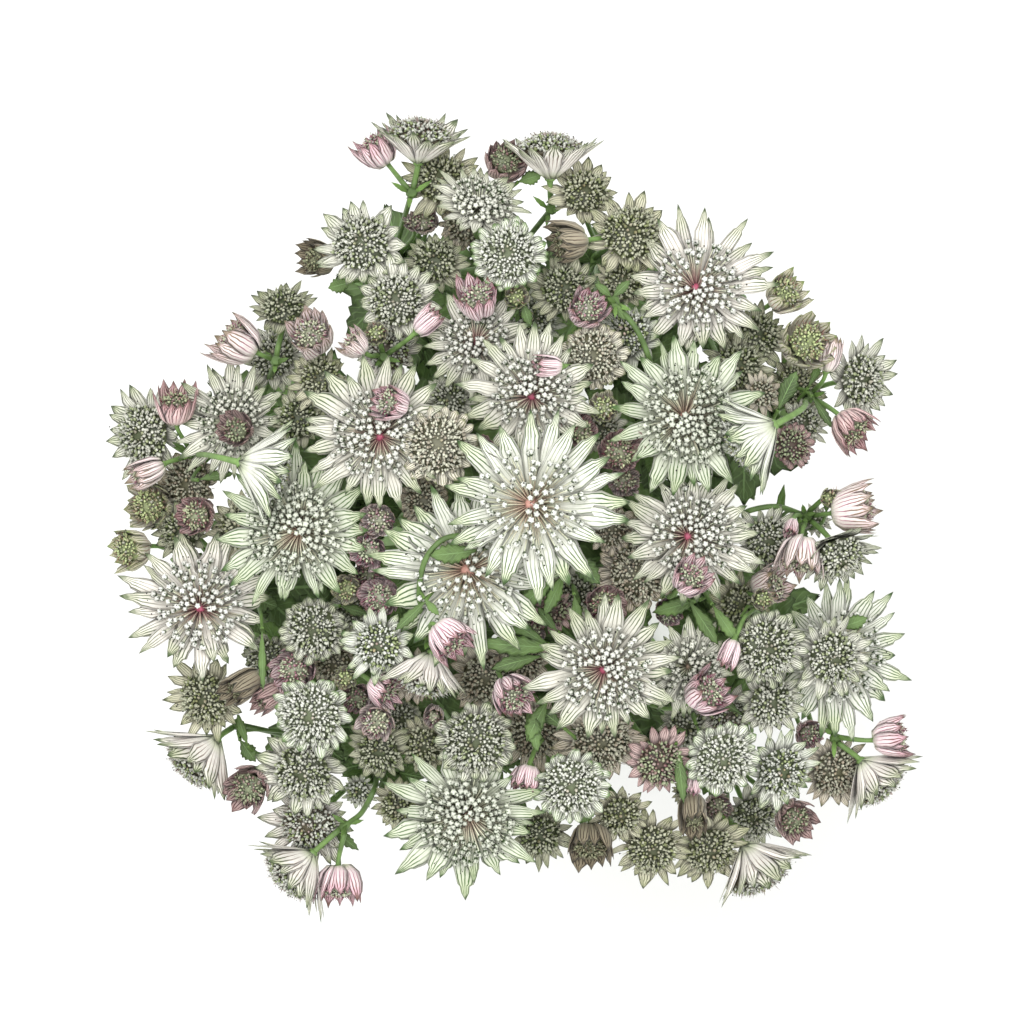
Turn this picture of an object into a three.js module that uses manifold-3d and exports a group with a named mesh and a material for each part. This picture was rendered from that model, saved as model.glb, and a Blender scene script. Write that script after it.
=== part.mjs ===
// A round hand-tied bunch of masterwort that stands on its cut ends. Millimetres, +Z up.
// The origin is the middle of the cut end of the straight middle stem.
import * as THREE from "three";
import Module from "manifold-3d";

const wasm = await Module();
wasm.setup();

// Driving dimensions of the bunch
const TOP_HEIGHT = 330;
const DOME_FALL = 52;
const DOME_RADIUS = 100;
const VIEW_HEIGHT = 2400;
const FORK_DROP = 62;
const REST_TILT = 28;

// Stems: a straight middle one, a ring of 7 and an outer ring of 16 that cross at the tie
const STEM_RADIUS = 1.45;
const MIDDLE_STEM_RADIUS = 1.7;
const STEM_SIDES = 5;
const FORK_GAP = 0.3;
const KNUCKLE_HEIGHT = 3.5;
const TIE_HEIGHT = 130;
const INNER_WAIST = 4.1;
const OUTER_WAISTS = [9.4, 7.7];
const INNER_FOOT = 40;
const OUTER_FOOT = 56;
const INNER_TURN = -32;
const OUTER_TURN = -74;
const STEM_FLARE = 0.35;
const STEM_STEPS = 3;

// Tie: a twine wound four times round the stems
const TIE_INNER_RADIUS = 12;
const TWINE_RADIUS = 1.1;
const TIE_TURNS = 4;
const TIE_SIDES = 16;
const KNOT_PROFILE = [[0, -2.6], [2.6, -1.3], [2.6, 1.3], [0, 2.6]];

// Leaves
const LEAF_THICKNESS = 1.2;
const COLLAR_LEAF = { length: 17, width: 7.5, rise: 24 };
const FORK_LEAF = { length: 10, width: 4.2, rise: 30 };
const SIDE_LEAF_TURN = 120;
const PALM_LEAF = { length: 34, width: 17, rise: 4 };
const COLLAR_TURN = 70;
const COLLAR_DEPTH = 3;
const PALM_STEP = 2;

const GREEN = new THREE.MeshStandardMaterial({ color: 0x668a3c, roughness: 0.6, metalness: 0 });
const BLOOM = new THREE.MeshStandardMaterial({ color: 0xd9dcc8, roughness: 0.75, metalness: 0 });
const TWINE = new THREE.MeshStandardMaterial({ color: 0xb49a6c, roughness: 0.9, metalness: 0 });

const UP = new THREE.Vector3(0, 0, 1);

// The parts of a spray. A place is given in mm as seen from above, with x to the right and y up,
// and drop is how far it lies below the dome. A flower's place is where its stalk meets its bracts.
// Facing and tilt are the angles, in degrees, that its axis turns to and leans from upright.
const flower = (kind, x, y, reach, drop, facing, tilt) => ({ kind, x, y, reach, drop, facing, tilt });
const star = (...place) => flower("star", ...place);
const fan = (...place) => flower("fan", ...place);
const cushion = (...place) => flower("cushion", ...place);
const cup = (...place) => flower("cup", ...place);
const bud = (...place) => flower("bud", ...place);
const fork = (x, y, drop, parts) => ({ kind: "fork", x, y, drop, parts });
const spray = (x, y, palmLeaf, parts) => ({ x, y, drop: FORK_DROP, palmLeaf, parts });

const MIDDLE_SPRAY = spray(3, 1, false, [
  star(5, 2, 20.5, 0, 0, 0),
  cushion(24.5, -4, 6.2, 12),
  cup(27.5, 7.5, 3.6, 18),
  cup(-7.5, 15.5, 3, 6),
  cup(11.5, -24.5, 4.6, 15),
  cup(4.5, -29.5, 3.6, 17),
]);

// The ring of 7, by the direction they lean in
const INNER_SPRAYS = [
  spray(38, 19, false, [
    star(43, 23.5, 19.5, 0),
    cup(26, 14.5, 5, 12),
    cup(22.5, 25.5, 3.5, 9),
    cushion(29.5, 43, 8.8, 14, 135, 35),
    cup(62, 29.5, 4.2, 10),
  ]),
  spray(4, 34, false, [
    star(5, 29, 17, 8),
    star(-9, 42, 13.8, 14),
    cup(-8, 49.5, 5, 6, 135, 40),
    bud(12.5, 44.5, 2.5, 1, 180, 70),
    cup(18.5, 17.5, 4, 12),
    cushion(20, 38.5, 8.2, 10),
    cup(17.5, 48.5, 4.5, 8),
    cup(1, 53, 2.8, 10),
  ]),
  spray(-36, 25, false, [
    star(-33, 19, 18, 2),
    cushion(-18, 17, 9, 10),
    cushion(-47.5, 33, 7.5, 16),
    cup(-48.5, 41.5, 5.2, 8),
    fork(-32, 39, 14, [
      cup(-37, 40, 3.4, 3, 140, 70),
      bud(-24, 45, 2.8, 5, 45, 75),
      cup(-33.5, 44, 2.6, 8),
    ]),
  ]),
  spray(-18, -9, false, [
    star(-11, -14.5, 21, 9),
    cushion(-22, 3, 6.2, 13),
    cup(-32.5, -2, 3.8, 8),
    cup(-35, -9.5, 4, 8),
    cup(-40.5, -19, 3.2, 10),
    cup(-32, -20.5, 4.6, 12),
  ]),
  spray(-28, -34, false, [
    cushion(-33, -33, 8.2, 2),
    cushion(-24, -42, 6.2, 15),
    cup(-34.5, -42.5, 4, 10),
    cup(-41, -41, 2.5, 9),
    fork(-25, -30, 9, [
      fan(-20, -35, 12, 4, 265, 72),
      cup(-20, -29, 5, -4, 315, 68),
    ]),
  ]),
  spray(22, -41, false, [
    star(23, -39, 18, 0),
    cup(1, -44.5, 4.8, 7),
    cushion(22, -56.5, 10.5, 14),
    star(43, -37, 13, 13),
    cup(47, -45, 5.5, 5),
    cup(22.5, -22.5, 4.5, 9),
    cushion(36.5, -62, 8, 6),
  ]),
  spray(42, -10, false, [
    star(44, -6, 17.5, 6),
    cushion(31, -15, 9.5, 13),
    cushion(63, -7, 8, 18),
    cup(61, -20, 4.5, 18, 10, 60),
    cup(65, -25, 2.6, 9),
  ]),
];

// The outer ring of 16, by the direction they lean in
const OUTER_SPRAYS = [
  spray(66, -3, false, [
    fork(74.5, -1, 16, [
      fan(81.5, -6.5, 11, 4, 290, 50),
      cup(83, 0, 6, 4, 5, 80),
      cup(72, -6, 4.8, 6, 260, 70),
      cup(77, 5, 2.6, 5),
    ]),
  ]),
  spray(64, 26, true, [
    fork(75, 29, 16, [
      fan(66, 22.5, 15, 6, 215, 66),
      cup(82, 24, 5, 5, 315, 65),
      bud(78.5, 35, 3.2, 3, 80, 80),
    ]),
    cushion(86, 33.5, 9, 9, 0, 45),
    cup(71, 41, 6, 8),
    cushion(74, 18, 6.2, 14),
  ]),
  spray(46, 50, false, [
    star(46, 55.5, 18.8, 5, 60, 15),
    cushion(61, 43.5, 7.5, 15),
    cushion(56, 36, 8.2, 16),
    cup(66, 55, 5, 5, 20, 60),
  ]),
  spray(22, 62, true, [
    cushion(18, 79, 8.2, 9),
    cushion(29, 68.5, 10, 4),
    cushion(27.5, 57, 7, 13),
    cup(19, 69, 5, 1, 190, 75),
    cushion(13, 55, 8.2, 12),
  ]),
  spray(-2, 62, false, [
    star(-8.5, 75.5, 12, 4, 70, 45),
    cushion(-1, 63.5, 9.5, 2),
    cushion(-19, 62, 7.8, 13),
    cup(-3, 86, 4.8, 9),
    fork(10, 76, 16, [
      fan(9.5, 83, 13.5, 4, 90, 80),
    ]),
  ]),
  spray(-28, 62, true, [
    cushion(-15.5, 82, 8.5, 14),
    cushion(-37, 66, 10.5, 4),
    cushion(-28.5, 52, 10, 10),
    cup(-47, 63, 4.5, 14),
    fork(-25, 80, 6, [
      fan(-23.5, 87, 13, 3, 85, 72),
      cup(-33.5, 86.5, 4.5, 3, 125, 75),
    ]),
  ]),
  spray(-64, 24, true, [
    star(-68, 25, 14.5, 14),
    cup(-68, 20, 4.8, 3),
    cushion(-53, 23, 7, 18),
    fork(-81, 14.5, 12, [
      bud(-87, 12, 3.2, 2, 205, 80),
      cup(-84, 22.5, 4.8, 3, 90, 60),
      cushion(-89, 20, 9, 9, 185, 50),
      fan(-69, 13, 12.5, -2, 350, 70),
    ]),
    fork(-59, 38, 12, [
      cup(-64, 40.5, 5.5, 5, 165, 80),
      cushion(-57, 50, 7.5, 12, 100, 35),
    ]),
  ]),
  spray(-57, 2, false, [
    star(-53, -4.5, 18.8, 0),
    cushion(-67, -4, 8.4, 15),
    cup(-77, -1, 4.5, 5),
  ]),
  spray(-68, -20, true, [
    star(-78, -23, 18.8, 2),
    cushion(-82, -5, 7.5, 15),
    cup(-92, -8.5, 5, 8, 190, 50),
    cup(-88, 1.5, 5.5, 18),
  ]),
  spray(-57, -38, false, [
    cushion(-49, -29, 8.5, 8),
    cup(-53, -38.5, 5, 12),
    cup(-59, -44.5, 3.8, 12),
    cup(-66, -39.5, 4.4, 8),
    cushion(-75.5, -46, 9.5, 8),
  ]),
  spray(-52, -56, true, [
    cushion(-49.5, -50, 10, 0),
    cushion(-51.5, -64, 10.5, 9),
    cup(-64, -66, 5.2, 6),
    fork(-68, -51, 16, [
      fan(-73.5, -57, 14.5, 6, 215, 68),
    ]),
  ]),
  spray(-34, -64, false, [
    cushion(-33, -59, 7.5, 8),
    cup(-31.5, -51.5, 4.8, 3),
    cushion(-50, -77, 10, 14),
    fork(-40, -80, 10, [
      fan(-49.5, -85, 14, 3, 225, 68),
      cup(-43, -89, 5, 4, 270, 80),
    ]),
  ]),
  spray(-10, -62, false, [
    star(-10, -75, 19, 2),
    cushion(-9, -56.5, 10, 4),
    cushion(-22, -58, 7, 13),
    cushion(7, -80, 7.5, 13),
    cushion(-28, -73, 6.8, 15),
    bud(-19, -50, 2.6, 10),
  ]),
  spray(17, -62, true, [
    cushion(14.5, -68.5, 9.5, 2),
    cushion(27, -75, 7, 9),
    cushion(34.5, -83, 9.2, 8),
    cup(19, -83, 5, 9),
    cup(3.5, -63, 3.6, 7, 260, 75),
  ]),
  spray(52, -62, false, [
    cushion(52, -61, 9.5, 0),
    cushion(64, -47, 8.2, 10),
    cushion(66.5, -64, 9, 7),
    cup(69, -75, 4.5, 8),
    cup(45, -73, 4.5, 5),
    cushion(48, -83, 9, 9),
    fork(54, -78, 12, [
      fan(58, -83, 14.5, 6, 300, 64),
    ]),
  ]),
  spray(69, -36, true, [
    star(81.5, -32, 19.5, 14),
    cushion(79, -36, 9.5, -1),
    cushion(63, -33.5, 9.5, 3),
    bud(56, -30, 2.8, 1, 260, 75),
    cushion(80, -64, 9, 12),
    fork(81, -56, 8, [
      fan(87, -62, 13, 3, 315, 64),
      cup(91, -55, 4.6, 1, 355, 78),
    ]),
  ]),
];

// Each kind of flower: how many bracts it has, the radius of its stalk below them, how far they open
// from its axis, in degrees, where the notches between them lie, and the rings of florets, as
// [radius, height] in parts of the reach of the bracts. A cup and a bud are shut round their florets,
// and have a length instead.
const KINDS = {
  star: { bracts: 12, stalk: 1.0, open: 72, notch: 0.62, florets: [[0.5, 0.36], [0.26, 0.34]] },
  fan: { bracts: 10, stalk: 0.9, open: 52, notch: 0.7, florets: [[0.62, 0.74], [0.32, 0.84]] },
  cushion: { dense: true, bracts: 8, stalk: 0.8, open: 72, notch: 0.8, florets: [[0.74, 0.42], [0.4, 0.52]] },
  cup: { bracts: 5, stalk: 0.7, length: 1.9, notch: 0.84, florets: [[0.62, 1.5]] },
  bud: { bracts: 5, stalk: 0.7, length: 3, notch: 0.86, florets: [[0.5, 2.5]] },
};
const OPEN_STRETCH = 1.05;
const BELLY = { radius: 0.84, lift: 0.4 };
const BRACT_DEPTH = 0.9;
const FLORET_RELIEF = 0.07;
const CROWN_DIP = 0.06;
const STALK_FLARE = 1.35;
const STALK_STEPS = 2;
const STALK_SIDES = 3;
const STALK_ROOT_RADIUS = 0.75;
const ROOT_DEPTH = 1.2;
const TURN_STEP = 2.4;

// Forks: the thick end of a stem or stalk that its parts grow from
const KNUCKLE_RADIUS = 3.3;
const SIDE_STALK_RADIUS = 1.0;
const SIDE_KNUCKLE_RADIUS = 2.9;
const SIDE_KNUCKLE_HEIGHT = 2.5;
const ROOT_CIRCLE = 1.78;
const SIDE_ROOT_CIRCLE = 1.5;
const ROOT_SPACING = 1.65;
const MOST_ROUND_A_CIRCLE = 6;

const radians = (degrees) => (degrees * Math.PI) / 180;
const degrees = (turn) => (turn * 180) / Math.PI;
const heading = ({ x, y }) => degrees(Math.atan2(y, x));

function direction(azimuth, lean) {
  const side = Math.sin(radians(lean));
  return new THREE.Vector3(
    side * Math.cos(radians(azimuth)),
    side * Math.sin(radians(azimuth)),
    Math.cos(radians(lean)),
  );
}

// What lies lower stands a little further out than it looks from above
function place({ x, y, drop }) {
  const outward = Math.hypot(x, y) / DOME_RADIUS;
  const height = TOP_HEIGHT - DOME_FALL * outward * outward - drop;
  const spread = 1 + (TOP_HEIGHT - height) / VIEW_HEIGHT;
  return new THREE.Vector3(x * spread, y * spread, height);
}

// Two directions square to an axis: the given one made square, and the one a quarter turn on
function squareTo(axis, towards) {
  const across = towards.clone().addScaledVector(axis, -axis.dot(towards)).normalize();
  return [across, new THREE.Vector3().crossVectors(axis, across)];
}

const levelSide = (axis) => {
  const level = new THREE.Vector3().crossVectors(UP, axis);
  return level.length() > 1e-6 ? level : new THREE.Vector3(1, 0, 0);
};

function ring(centre, axis, [across, along], count, radiusAt, lift = () => 0) {
  return Array.from({ length: count }, (_, k) => {
    const angle = (2 * Math.PI * k) / count;
    return centre.clone()
      .addScaledVector(across, radiusAt(k) * Math.cos(angle))
      .addScaledVector(along, radiusAt(k) * Math.sin(angle))
      .addScaledVector(axis, lift(k));
  });
}

// A closed skin through rings of points, each counter-clockwise about the way they run
function skin(rings) {
  const points = rings.flat();
  const triangles = [];
  let lowStart = 0;
  for (let row = 0; row + 1 < rings.length; row += 1) {
    const low = rings[row].length;
    const high = rings[row + 1].length;
    const highStart = lowStart + low;
    const lowSteps = low > 1 ? low : 0;
    const highSteps = high > 1 ? high : 0;
    let i = 0;
    let j = 0;
    while (i < lowSteps || j < highSteps) {
      const a = lowStart + (i % low);
      const b = highStart + (j % high);
      if (j >= highSteps || (i < lowSteps && (i + 0.5) / low < (j + 0.5) / high)) {
        triangles.push([a, lowStart + ((i + 1) % low), b]);
        i += 1;
      } else {
        triangles.push([a, highStart + ((j + 1) % high), b]);
        j += 1;
      }
    }
    lowStart = highStart;
  }
  for (let k = 1; k + 1 < rings[0].length; k += 1) triangles.push([0, k + 1, k]);
  for (let k = 1; k + 1 < rings.at(-1).length; k += 1) {
    triangles.push([lowStart, lowStart + k, lowStart + k + 1]);
  }
  return { points, triangles };
}

function solid({ points, triangles }) {
  return new wasm.Manifold(new wasm.Mesh({
    numProp: 3,
    vertProperties: Float32Array.from(points.flatMap((point) => point.toArray())),
    triVerts: Uint32Array.from(triangles.flat()),
  }));
}

const fused = (skins) => skins.map(solid).reduce((whole, piece) => whole.add(piece));

function meshOf(name, whole, material) {
  const { vertProperties, triVerts } = whole.getMesh();
  const geometry = new THREE.BufferGeometry();
  geometry.setAttribute("position", new THREE.BufferAttribute(vertProperties, 3));
  geometry.setIndex(new THREE.BufferAttribute(triVerts, 1));
  geometry.computeVertexNormals();
  const mesh = new THREE.Mesh(geometry, material);
  mesh.name = name;
  return mesh;
}

// Rings of a round stalk along a curve, turned as little as the curve allows, from its far end back
function stalkRings(curve, steps, sides, radiusAt, farSide) {
  const rings = [];
  let across = farSide;
  for (let step = steps; step >= 0; step -= 1) {
    const tangent = curve.getTangent(step / steps);
    const square = squareTo(tangent, across);
    across = square[0];
    rings.unshift(ring(curve.getPoint(step / steps), tangent, square, sides, () => radiusAt(step / steps)));
  }
  return rings;
}

// A stalk leaves its root a little upright and meets its flower along the flower's axis
function stalkCurve(root, tip, axis) {
  const span = root.distanceTo(tip);
  const start = tip.clone().sub(root).normalize().addScaledVector(UP, 0.5).normalize();
  return new THREE.CubicBezierCurve3(
    root,
    root.clone().addScaledVector(start, span * 0.35),
    tip.clone().addScaledVector(axis, -span * 0.3),
    tip,
  );
}

function flowerAxis(head) {
  const lean = (REST_TILT * Math.hypot(head.x, head.y)) / DOME_RADIUS;
  return direction(head.facing ?? heading(head), head.tilt ?? lean);
}

// One flower with its stalk: the stalk and its collar, the underside of the bracts out to their tips
// and the notches between them, their upper side, and the florets as knobs, every second one raised
function flowerSkin(head, root) {
  const kind = KINDS[head.kind];
  const { reach } = head;
  const n = kind.bracts;
  const tip = place(head);
  const axis = flowerAxis(head);
  const turned = levelSide(axis).applyAxisAngle(axis, TURN_STEP * head.x);
  const square = squareTo(axis, turned);
  const stalk = stalkRings(
    stalkCurve(root, tip, axis),
    STALK_STEPS,
    STALK_SIDES,
    (t) => THREE.MathUtils.lerp(STALK_ROOT_RADIUS, kind.stalk, t),
    square[0],
  ).slice(0, -1);
  const rings = [[root.clone().addScaledVector(UP, -ROOT_DEPTH / 2)], ...stalk];
  const at = (count, radius, lift) => rings.push(ring(tip, axis, square, count, radius, lift));
  const even = (first, second) => (k) => (k % 2 === 0 ? first : second);
  at(STALK_SIDES, () => kind.stalk * STALK_FLARE, () => 0.2);
  if (kind.open) {
    const rim = reach * OPEN_STRETCH * Math.sin(radians(kind.open));
    const lift = reach * OPEN_STRETCH * Math.cos(radians(kind.open));
    const inner = kind.notch - 0.06;
    at(2 * n, even(rim, rim * kind.notch), even(lift, lift * kind.notch));
    if (!kind.dense) at(n, () => rim * inner, () => lift * inner + BRACT_DEPTH);
    for (const [radius, height] of kind.florets) {
      const high = reach * (height + FLORET_RELIEF);
      const low = reach * (height - FLORET_RELIEF);
      at(n, () => rim * radius, even(high, low));
    }
  } else {
    const length = reach * kind.length;
    at(n, () => reach * BELLY.radius, () => length * BELLY.lift);
    at(2 * n, even(reach, reach * 0.94), even(length, length * kind.notch));
    for (const [radius, height] of kind.florets) at(n, () => reach * radius, () => reach * height);
  }
  at(1, () => 0, () => reach * (kind.florets.at(-1)[1] - CROWN_DIP));
  return skin(rings);
}

// A toothed leaf: a run of four-sided sections, thick along the midrib and thin at the edge, that
// arches down towards its tip. Edges are [way along, half width] in parts of its length and width.
const LEAF_EDGE = [[0.14, 0.12], [0.5, 0.5], [0.74, 0.34]];
const PALM_EDGE = [[0.14, 0.12], [0.26, 0.95], [0.42, 0.34], [0.56, 0.8], [0.68, 0.26], [0.84, 0.3]];
const LEAF_ARCH = 0.14;
const LEAF_FOLD = 0.16;

function leafSkin(root, azimuth, { length, width, rise }, edge) {
  const out = direction(azimuth, 90 - rise);
  const side = direction(azimuth + 90, 90);
  const face = new THREE.Vector3().crossVectors(out, side);
  const at = (u, v, lift) => root.clone()
    .addScaledVector(out, u * length)
    .addScaledVector(side, v * width)
    .addScaledVector(face, lift + Math.abs(v) * width * LEAF_FOLD - LEAF_ARCH * length * u * u);
  const sections = edge.map(([u, half]) => [
    at(u, half, 0),
    at(u, 0, LEAF_THICKNESS / 2),
    at(u, -half, 0),
    at(u, 0, -LEAF_THICKNESS / 2),
  ]);
  return skin([[at(0, 0, 0)], ...sections, [at(1, 0, 0)]]);
}

// Roots round the middle of a fork, each on the side that its part goes to, pushed apart where they
// crowd. Where there are many, the part that rises most steeply grows from the middle.
function spreadRoots(middle, parts, radius) {
  const ways = parts.map((part) => {
    const way = place(part).sub(middle);
    return { part, angle: heading(way), out: Math.hypot(way.x, way.y) };
  });
  ways.sort((a, b) => a.out - b.out);
  const inner = ways.length > MOST_ROUND_A_CIRCLE ? ways.splice(0, 1) : [];
  ways.sort((a, b) => a.angle - b.angle);
  const apart = Math.min(degrees(ROOT_SPACING / radius), 360 / ways.length);
  for (let pass = 0; pass < 40; pass += 1) {
    ways.forEach((way, k) => {
      const next = ways[(k + 1) % ways.length];
      const gap = next.angle - way.angle + (k + 1 === ways.length ? 360 : 0);
      const push = Math.max(0, apart - gap) / 2;
      way.angle -= push;
      next.angle += push;
    });
  }
  return [
    ...inner.map(({ part }) => ({ part, root: middle.clone() })),
    ...ways.map(({ part, angle }) => ({
      part, root: middle.clone().addScaledVector(direction(angle, 90), radius),
    })),
  ];
}

// A side stalk with the knuckle that its own parts grow from
function sideStalk(root, tip, away) {
  const side = levelSide(away);
  const neck = tip.clone().addScaledVector(away, -SIDE_KNUCKLE_HEIGHT);
  const stalk = stalkRings(
    stalkCurve(root, neck, away), STALK_STEPS, STALK_SIDES, () => SIDE_STALK_RADIUS, side);
  const knuckle = ring(tip, away, squareTo(away, side), STEM_SIDES, () => SIDE_KNUCKLE_RADIUS);
  return skin([[root.clone().addScaledVector(UP, -ROOT_DEPTH / 2)], ...stalk, knuckle]);
}

// The skins of all that grows from one fork: flowers, and stalks with forks of their own
function growth(middle, parts, radius) {
  return spreadRoots(middle, parts, radius).flatMap(({ part, root }) => {
    if (part.kind !== "fork") return [flowerSkin(part, root)];
    const tip = place(part);
    const away = tip.clone().sub(root).normalize();
    const leafRoot = tip.clone().addScaledVector(away, -SIDE_KNUCKLE_HEIGHT * 0.7);
    return [
      sideStalk(root, tip, away),
      leafSkin(leafRoot, heading(part) + SIDE_LEAF_TURN, FORK_LEAF, LEAF_EDGE),
      ...growth(tip.clone().addScaledVector(away, -ROOT_DEPTH / 2), part.parts, SIDE_ROOT_CIRCLE),
    ];
  });
}

// The way of a stem: straight from its foot through the tie, turned about the middle as in a spiral
// bunch, then bent out to its fork
function stemWay(forkPoint, waist, foot, waistAngle) {
  const slope = Math.sqrt(foot * foot - waist * waist) / TIE_HEIGHT;
  const at = (height) => direction(waistAngle, 90).multiplyScalar(waist)
    .addScaledVector(direction(waistAngle + 90, 90), slope * (height - TIE_HEIGHT))
    .setZ(height);
  const crossing = at(TIE_HEIGHT);
  const along = crossing.clone().sub(at(0)).normalize();
  const arrive = forkPoint.clone().setZ(0).multiplyScalar(STEM_FLARE / DOME_RADIUS).add(UP).normalize();
  const span = crossing.distanceTo(forkPoint);
  const rise = new THREE.CubicBezierCurve3(
    crossing,
    crossing.clone().addScaledVector(along, span * 0.4),
    forkPoint.clone().addScaledVector(arrive, -span * 0.3),
    forkPoint,
  );
  return { footPoint: at(0), along, arrive, rise };
}

// A stem with its foot cut level and two leaves: both under its fork, or one of them a lobed leaf
// further down
function buildStem(name, branch, route, radius) {
  const forkPoint = place(branch);
  const { footPoint, along, arrive, rise } = stemWay(forkPoint, route.waist, route.foot, route.angle);
  const upper = stalkRings(rise, STEM_STEPS, STEM_SIDES, () => radius, levelSide(arrive));
  const side = upper[0][0].clone().sub(rise.getPoint(0));
  const foot = ring(footPoint, along, squareTo(along, side), STEM_SIDES, () => radius)
    .map((point) => point.addScaledVector(along, -point.z / along.z));
  const collar = forkPoint.clone().addScaledVector(arrive, -COLLAR_DEPTH);
  const out = heading(branch);
  const leaves = [leafSkin(collar, out + COLLAR_TURN, COLLAR_LEAF, LEAF_EDGE)];
  leaves.push(branch.palmLeaf
    ? leafSkin(rise.getPoint(PALM_STEP / STEM_STEPS), out, PALM_LEAF, PALM_EDGE)
    : leafSkin(collar, out - COLLAR_TURN, COLLAR_LEAF, LEAF_EDGE));
  return meshOf(name, fused([skin([foot, ...upper]), ...leaves]), GREEN);
}

// The stalks and flowers of one stem, on a knuckle that sits on the stem's upper end
function buildSpray(name, branch, route, radius) {
  const forkPoint = place(branch);
  const { arrive } = stemWay(forkPoint, route.waist, route.foot, route.angle);
  const square = squareTo(arrive, levelSide(arrive));
  const bottom = forkPoint.clone().addScaledVector(arrive, FORK_GAP);
  const knuckle = [[0, radius], [KNUCKLE_HEIGHT, KNUCKLE_RADIUS]].map(([lift, size]) => ring(
    bottom.clone().addScaledVector(arrive, lift), arrive, square, STEM_SIDES, () => size));
  const middle = bottom.clone().addScaledVector(arrive, KNUCKLE_HEIGHT - ROOT_DEPTH / 2);
  return meshOf(name, fused([skin(knuckle), ...growth(middle, branch.parts, ROOT_CIRCLE)]), BLOOM);
}

// The tie: turns of twine side by side as one ring, with a knot and two short ends
function buildTie() {
  const middle = new THREE.Vector3(0, 0, TIE_HEIGHT);
  const square = squareTo(UP, levelSide(UP));
  const valley = TIE_INNER_RADIUS + TWINE_RADIUS * 1.2;
  const crest = TIE_INNER_RADIUS + TWINE_RADIUS * 2;
  const half = TWINE_RADIUS * TIE_TURNS;
  const profile = [[TIE_INNER_RADIUS, -half], [valley, -half]];
  for (let turn = 0; turn < TIE_TURNS; turn += 1) {
    const level = TWINE_RADIUS * (2 * turn + 1) - half;
    profile.push([crest, level], [valley, level + TWINE_RADIUS]);
  }
  profile.push([TIE_INNER_RADIUS, half]);
  const rings = profile.map(([radius, lift]) => ring(
    middle, UP, square, TIE_SIDES, () => radius, () => lift));
  const triangles = rings.flatMap((_, row) => {
    const low = row * TIE_SIDES;
    const high = ((row + 1) % rings.length) * TIE_SIDES;
    return Array.from({ length: TIE_SIDES }, (__, k) => {
      const next = (k + 1) % TIE_SIDES;
      return [[low + k, low + next, high + next], [low + k, high + next, high + k]];
    }).flat();
  });
  const knotPoint = middle.clone().add(new THREE.Vector3(0, -crest, 0));
  const knot = KNOT_PROFILE.map(([radius, lift]) => ring(
    knotPoint, UP, square, radius > 0 ? 5 : 1, () => radius, () => lift));
  const ends = [-1, 1].map((way) => {
    const tip = knotPoint.clone().add(new THREE.Vector3(way * 9, -3, -13 - way * 2));
    const shoulder = knotPoint.clone().add(new THREE.Vector3(way * 7, -2, 1));
    const curve = new THREE.QuadraticBezierCurve3(knotPoint, shoulder, tip);
    return skin(stalkRings(curve, 2, 4, () => TWINE_RADIUS * 0.9, UP));
  });
  return meshOf("tie", fused([{ points: rings.flat(), triangles }, skin(knot), ...ends]), TWINE);
}

const bunch = new THREE.Group();

function addBranch(number, branch, route, radius) {
  const label = String(number).padStart(2, "0");
  bunch.add(buildStem(`stem_${label}`, branch, route, radius));
  bunch.add(buildSpray(`spray_${label}`, branch, route, radius));
}

addBranch(1, MIDDLE_SPRAY, { waist: 0, foot: 0, angle: 0 }, MIDDLE_STEM_RADIUS);
INNER_SPRAYS.forEach((branch, k) => {
  const angle = INNER_TURN + (360 * k) / INNER_SPRAYS.length;
  addBranch(k + 2, branch, { waist: INNER_WAIST, foot: INNER_FOOT, angle }, STEM_RADIUS);
});
OUTER_SPRAYS.forEach((branch, k) => {
  const angle = OUTER_TURN + (360 * k) / OUTER_SPRAYS.length;
  const waist = OUTER_WAISTS[k % OUTER_WAISTS.length];
  addBranch(k + 2 + INNER_SPRAYS.length, branch, { waist, foot: OUTER_FOOT, angle }, STEM_RADIUS);
});
bunch.add(buildTie());

export default bunch;
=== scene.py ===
"""A round hand-tied bunch of masterwort: flower heads with veined papery bracts and domes of small
florets, on forked leafy stems that cross under a twine tie. Lengths are in millimetres until a mesh
is made, and the bunch stands on its cut ends at z = 0."""

import functools
import math
from collections import namedtuple

import bpy
import numpy as np
from bpy.props import CollectionProperty, FloatProperty, FloatVectorProperty, PointerProperty
from bpy.types import NodeSocket, Operator, Panel, PropertyGroup
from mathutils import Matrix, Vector


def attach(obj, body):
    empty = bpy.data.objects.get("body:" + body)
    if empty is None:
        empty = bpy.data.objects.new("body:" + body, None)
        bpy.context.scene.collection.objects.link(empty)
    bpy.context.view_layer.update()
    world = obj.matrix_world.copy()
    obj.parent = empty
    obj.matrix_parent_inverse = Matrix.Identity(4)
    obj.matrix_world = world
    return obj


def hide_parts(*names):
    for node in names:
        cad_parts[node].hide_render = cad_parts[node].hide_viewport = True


bl_info = {
    "name": "Masterwort Bouquet",
    "version": (1, 0, 0),
    "blender": (4, 5, 0),
    "location": "View3D > Sidebar > Masterwort",
    "description": "Builds a hand-tied bunch of masterwort round its packed solids",
    "category": "Add Mesh",
}

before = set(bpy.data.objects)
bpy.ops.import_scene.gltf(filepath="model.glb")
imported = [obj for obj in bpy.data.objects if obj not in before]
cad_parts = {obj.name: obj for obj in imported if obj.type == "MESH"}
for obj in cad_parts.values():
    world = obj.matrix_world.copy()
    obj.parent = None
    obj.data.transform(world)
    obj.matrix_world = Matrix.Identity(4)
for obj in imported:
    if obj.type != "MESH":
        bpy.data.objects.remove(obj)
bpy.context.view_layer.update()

METRES = 0.001
UP = np.array((0.0, 0.0, 1.0))

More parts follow.
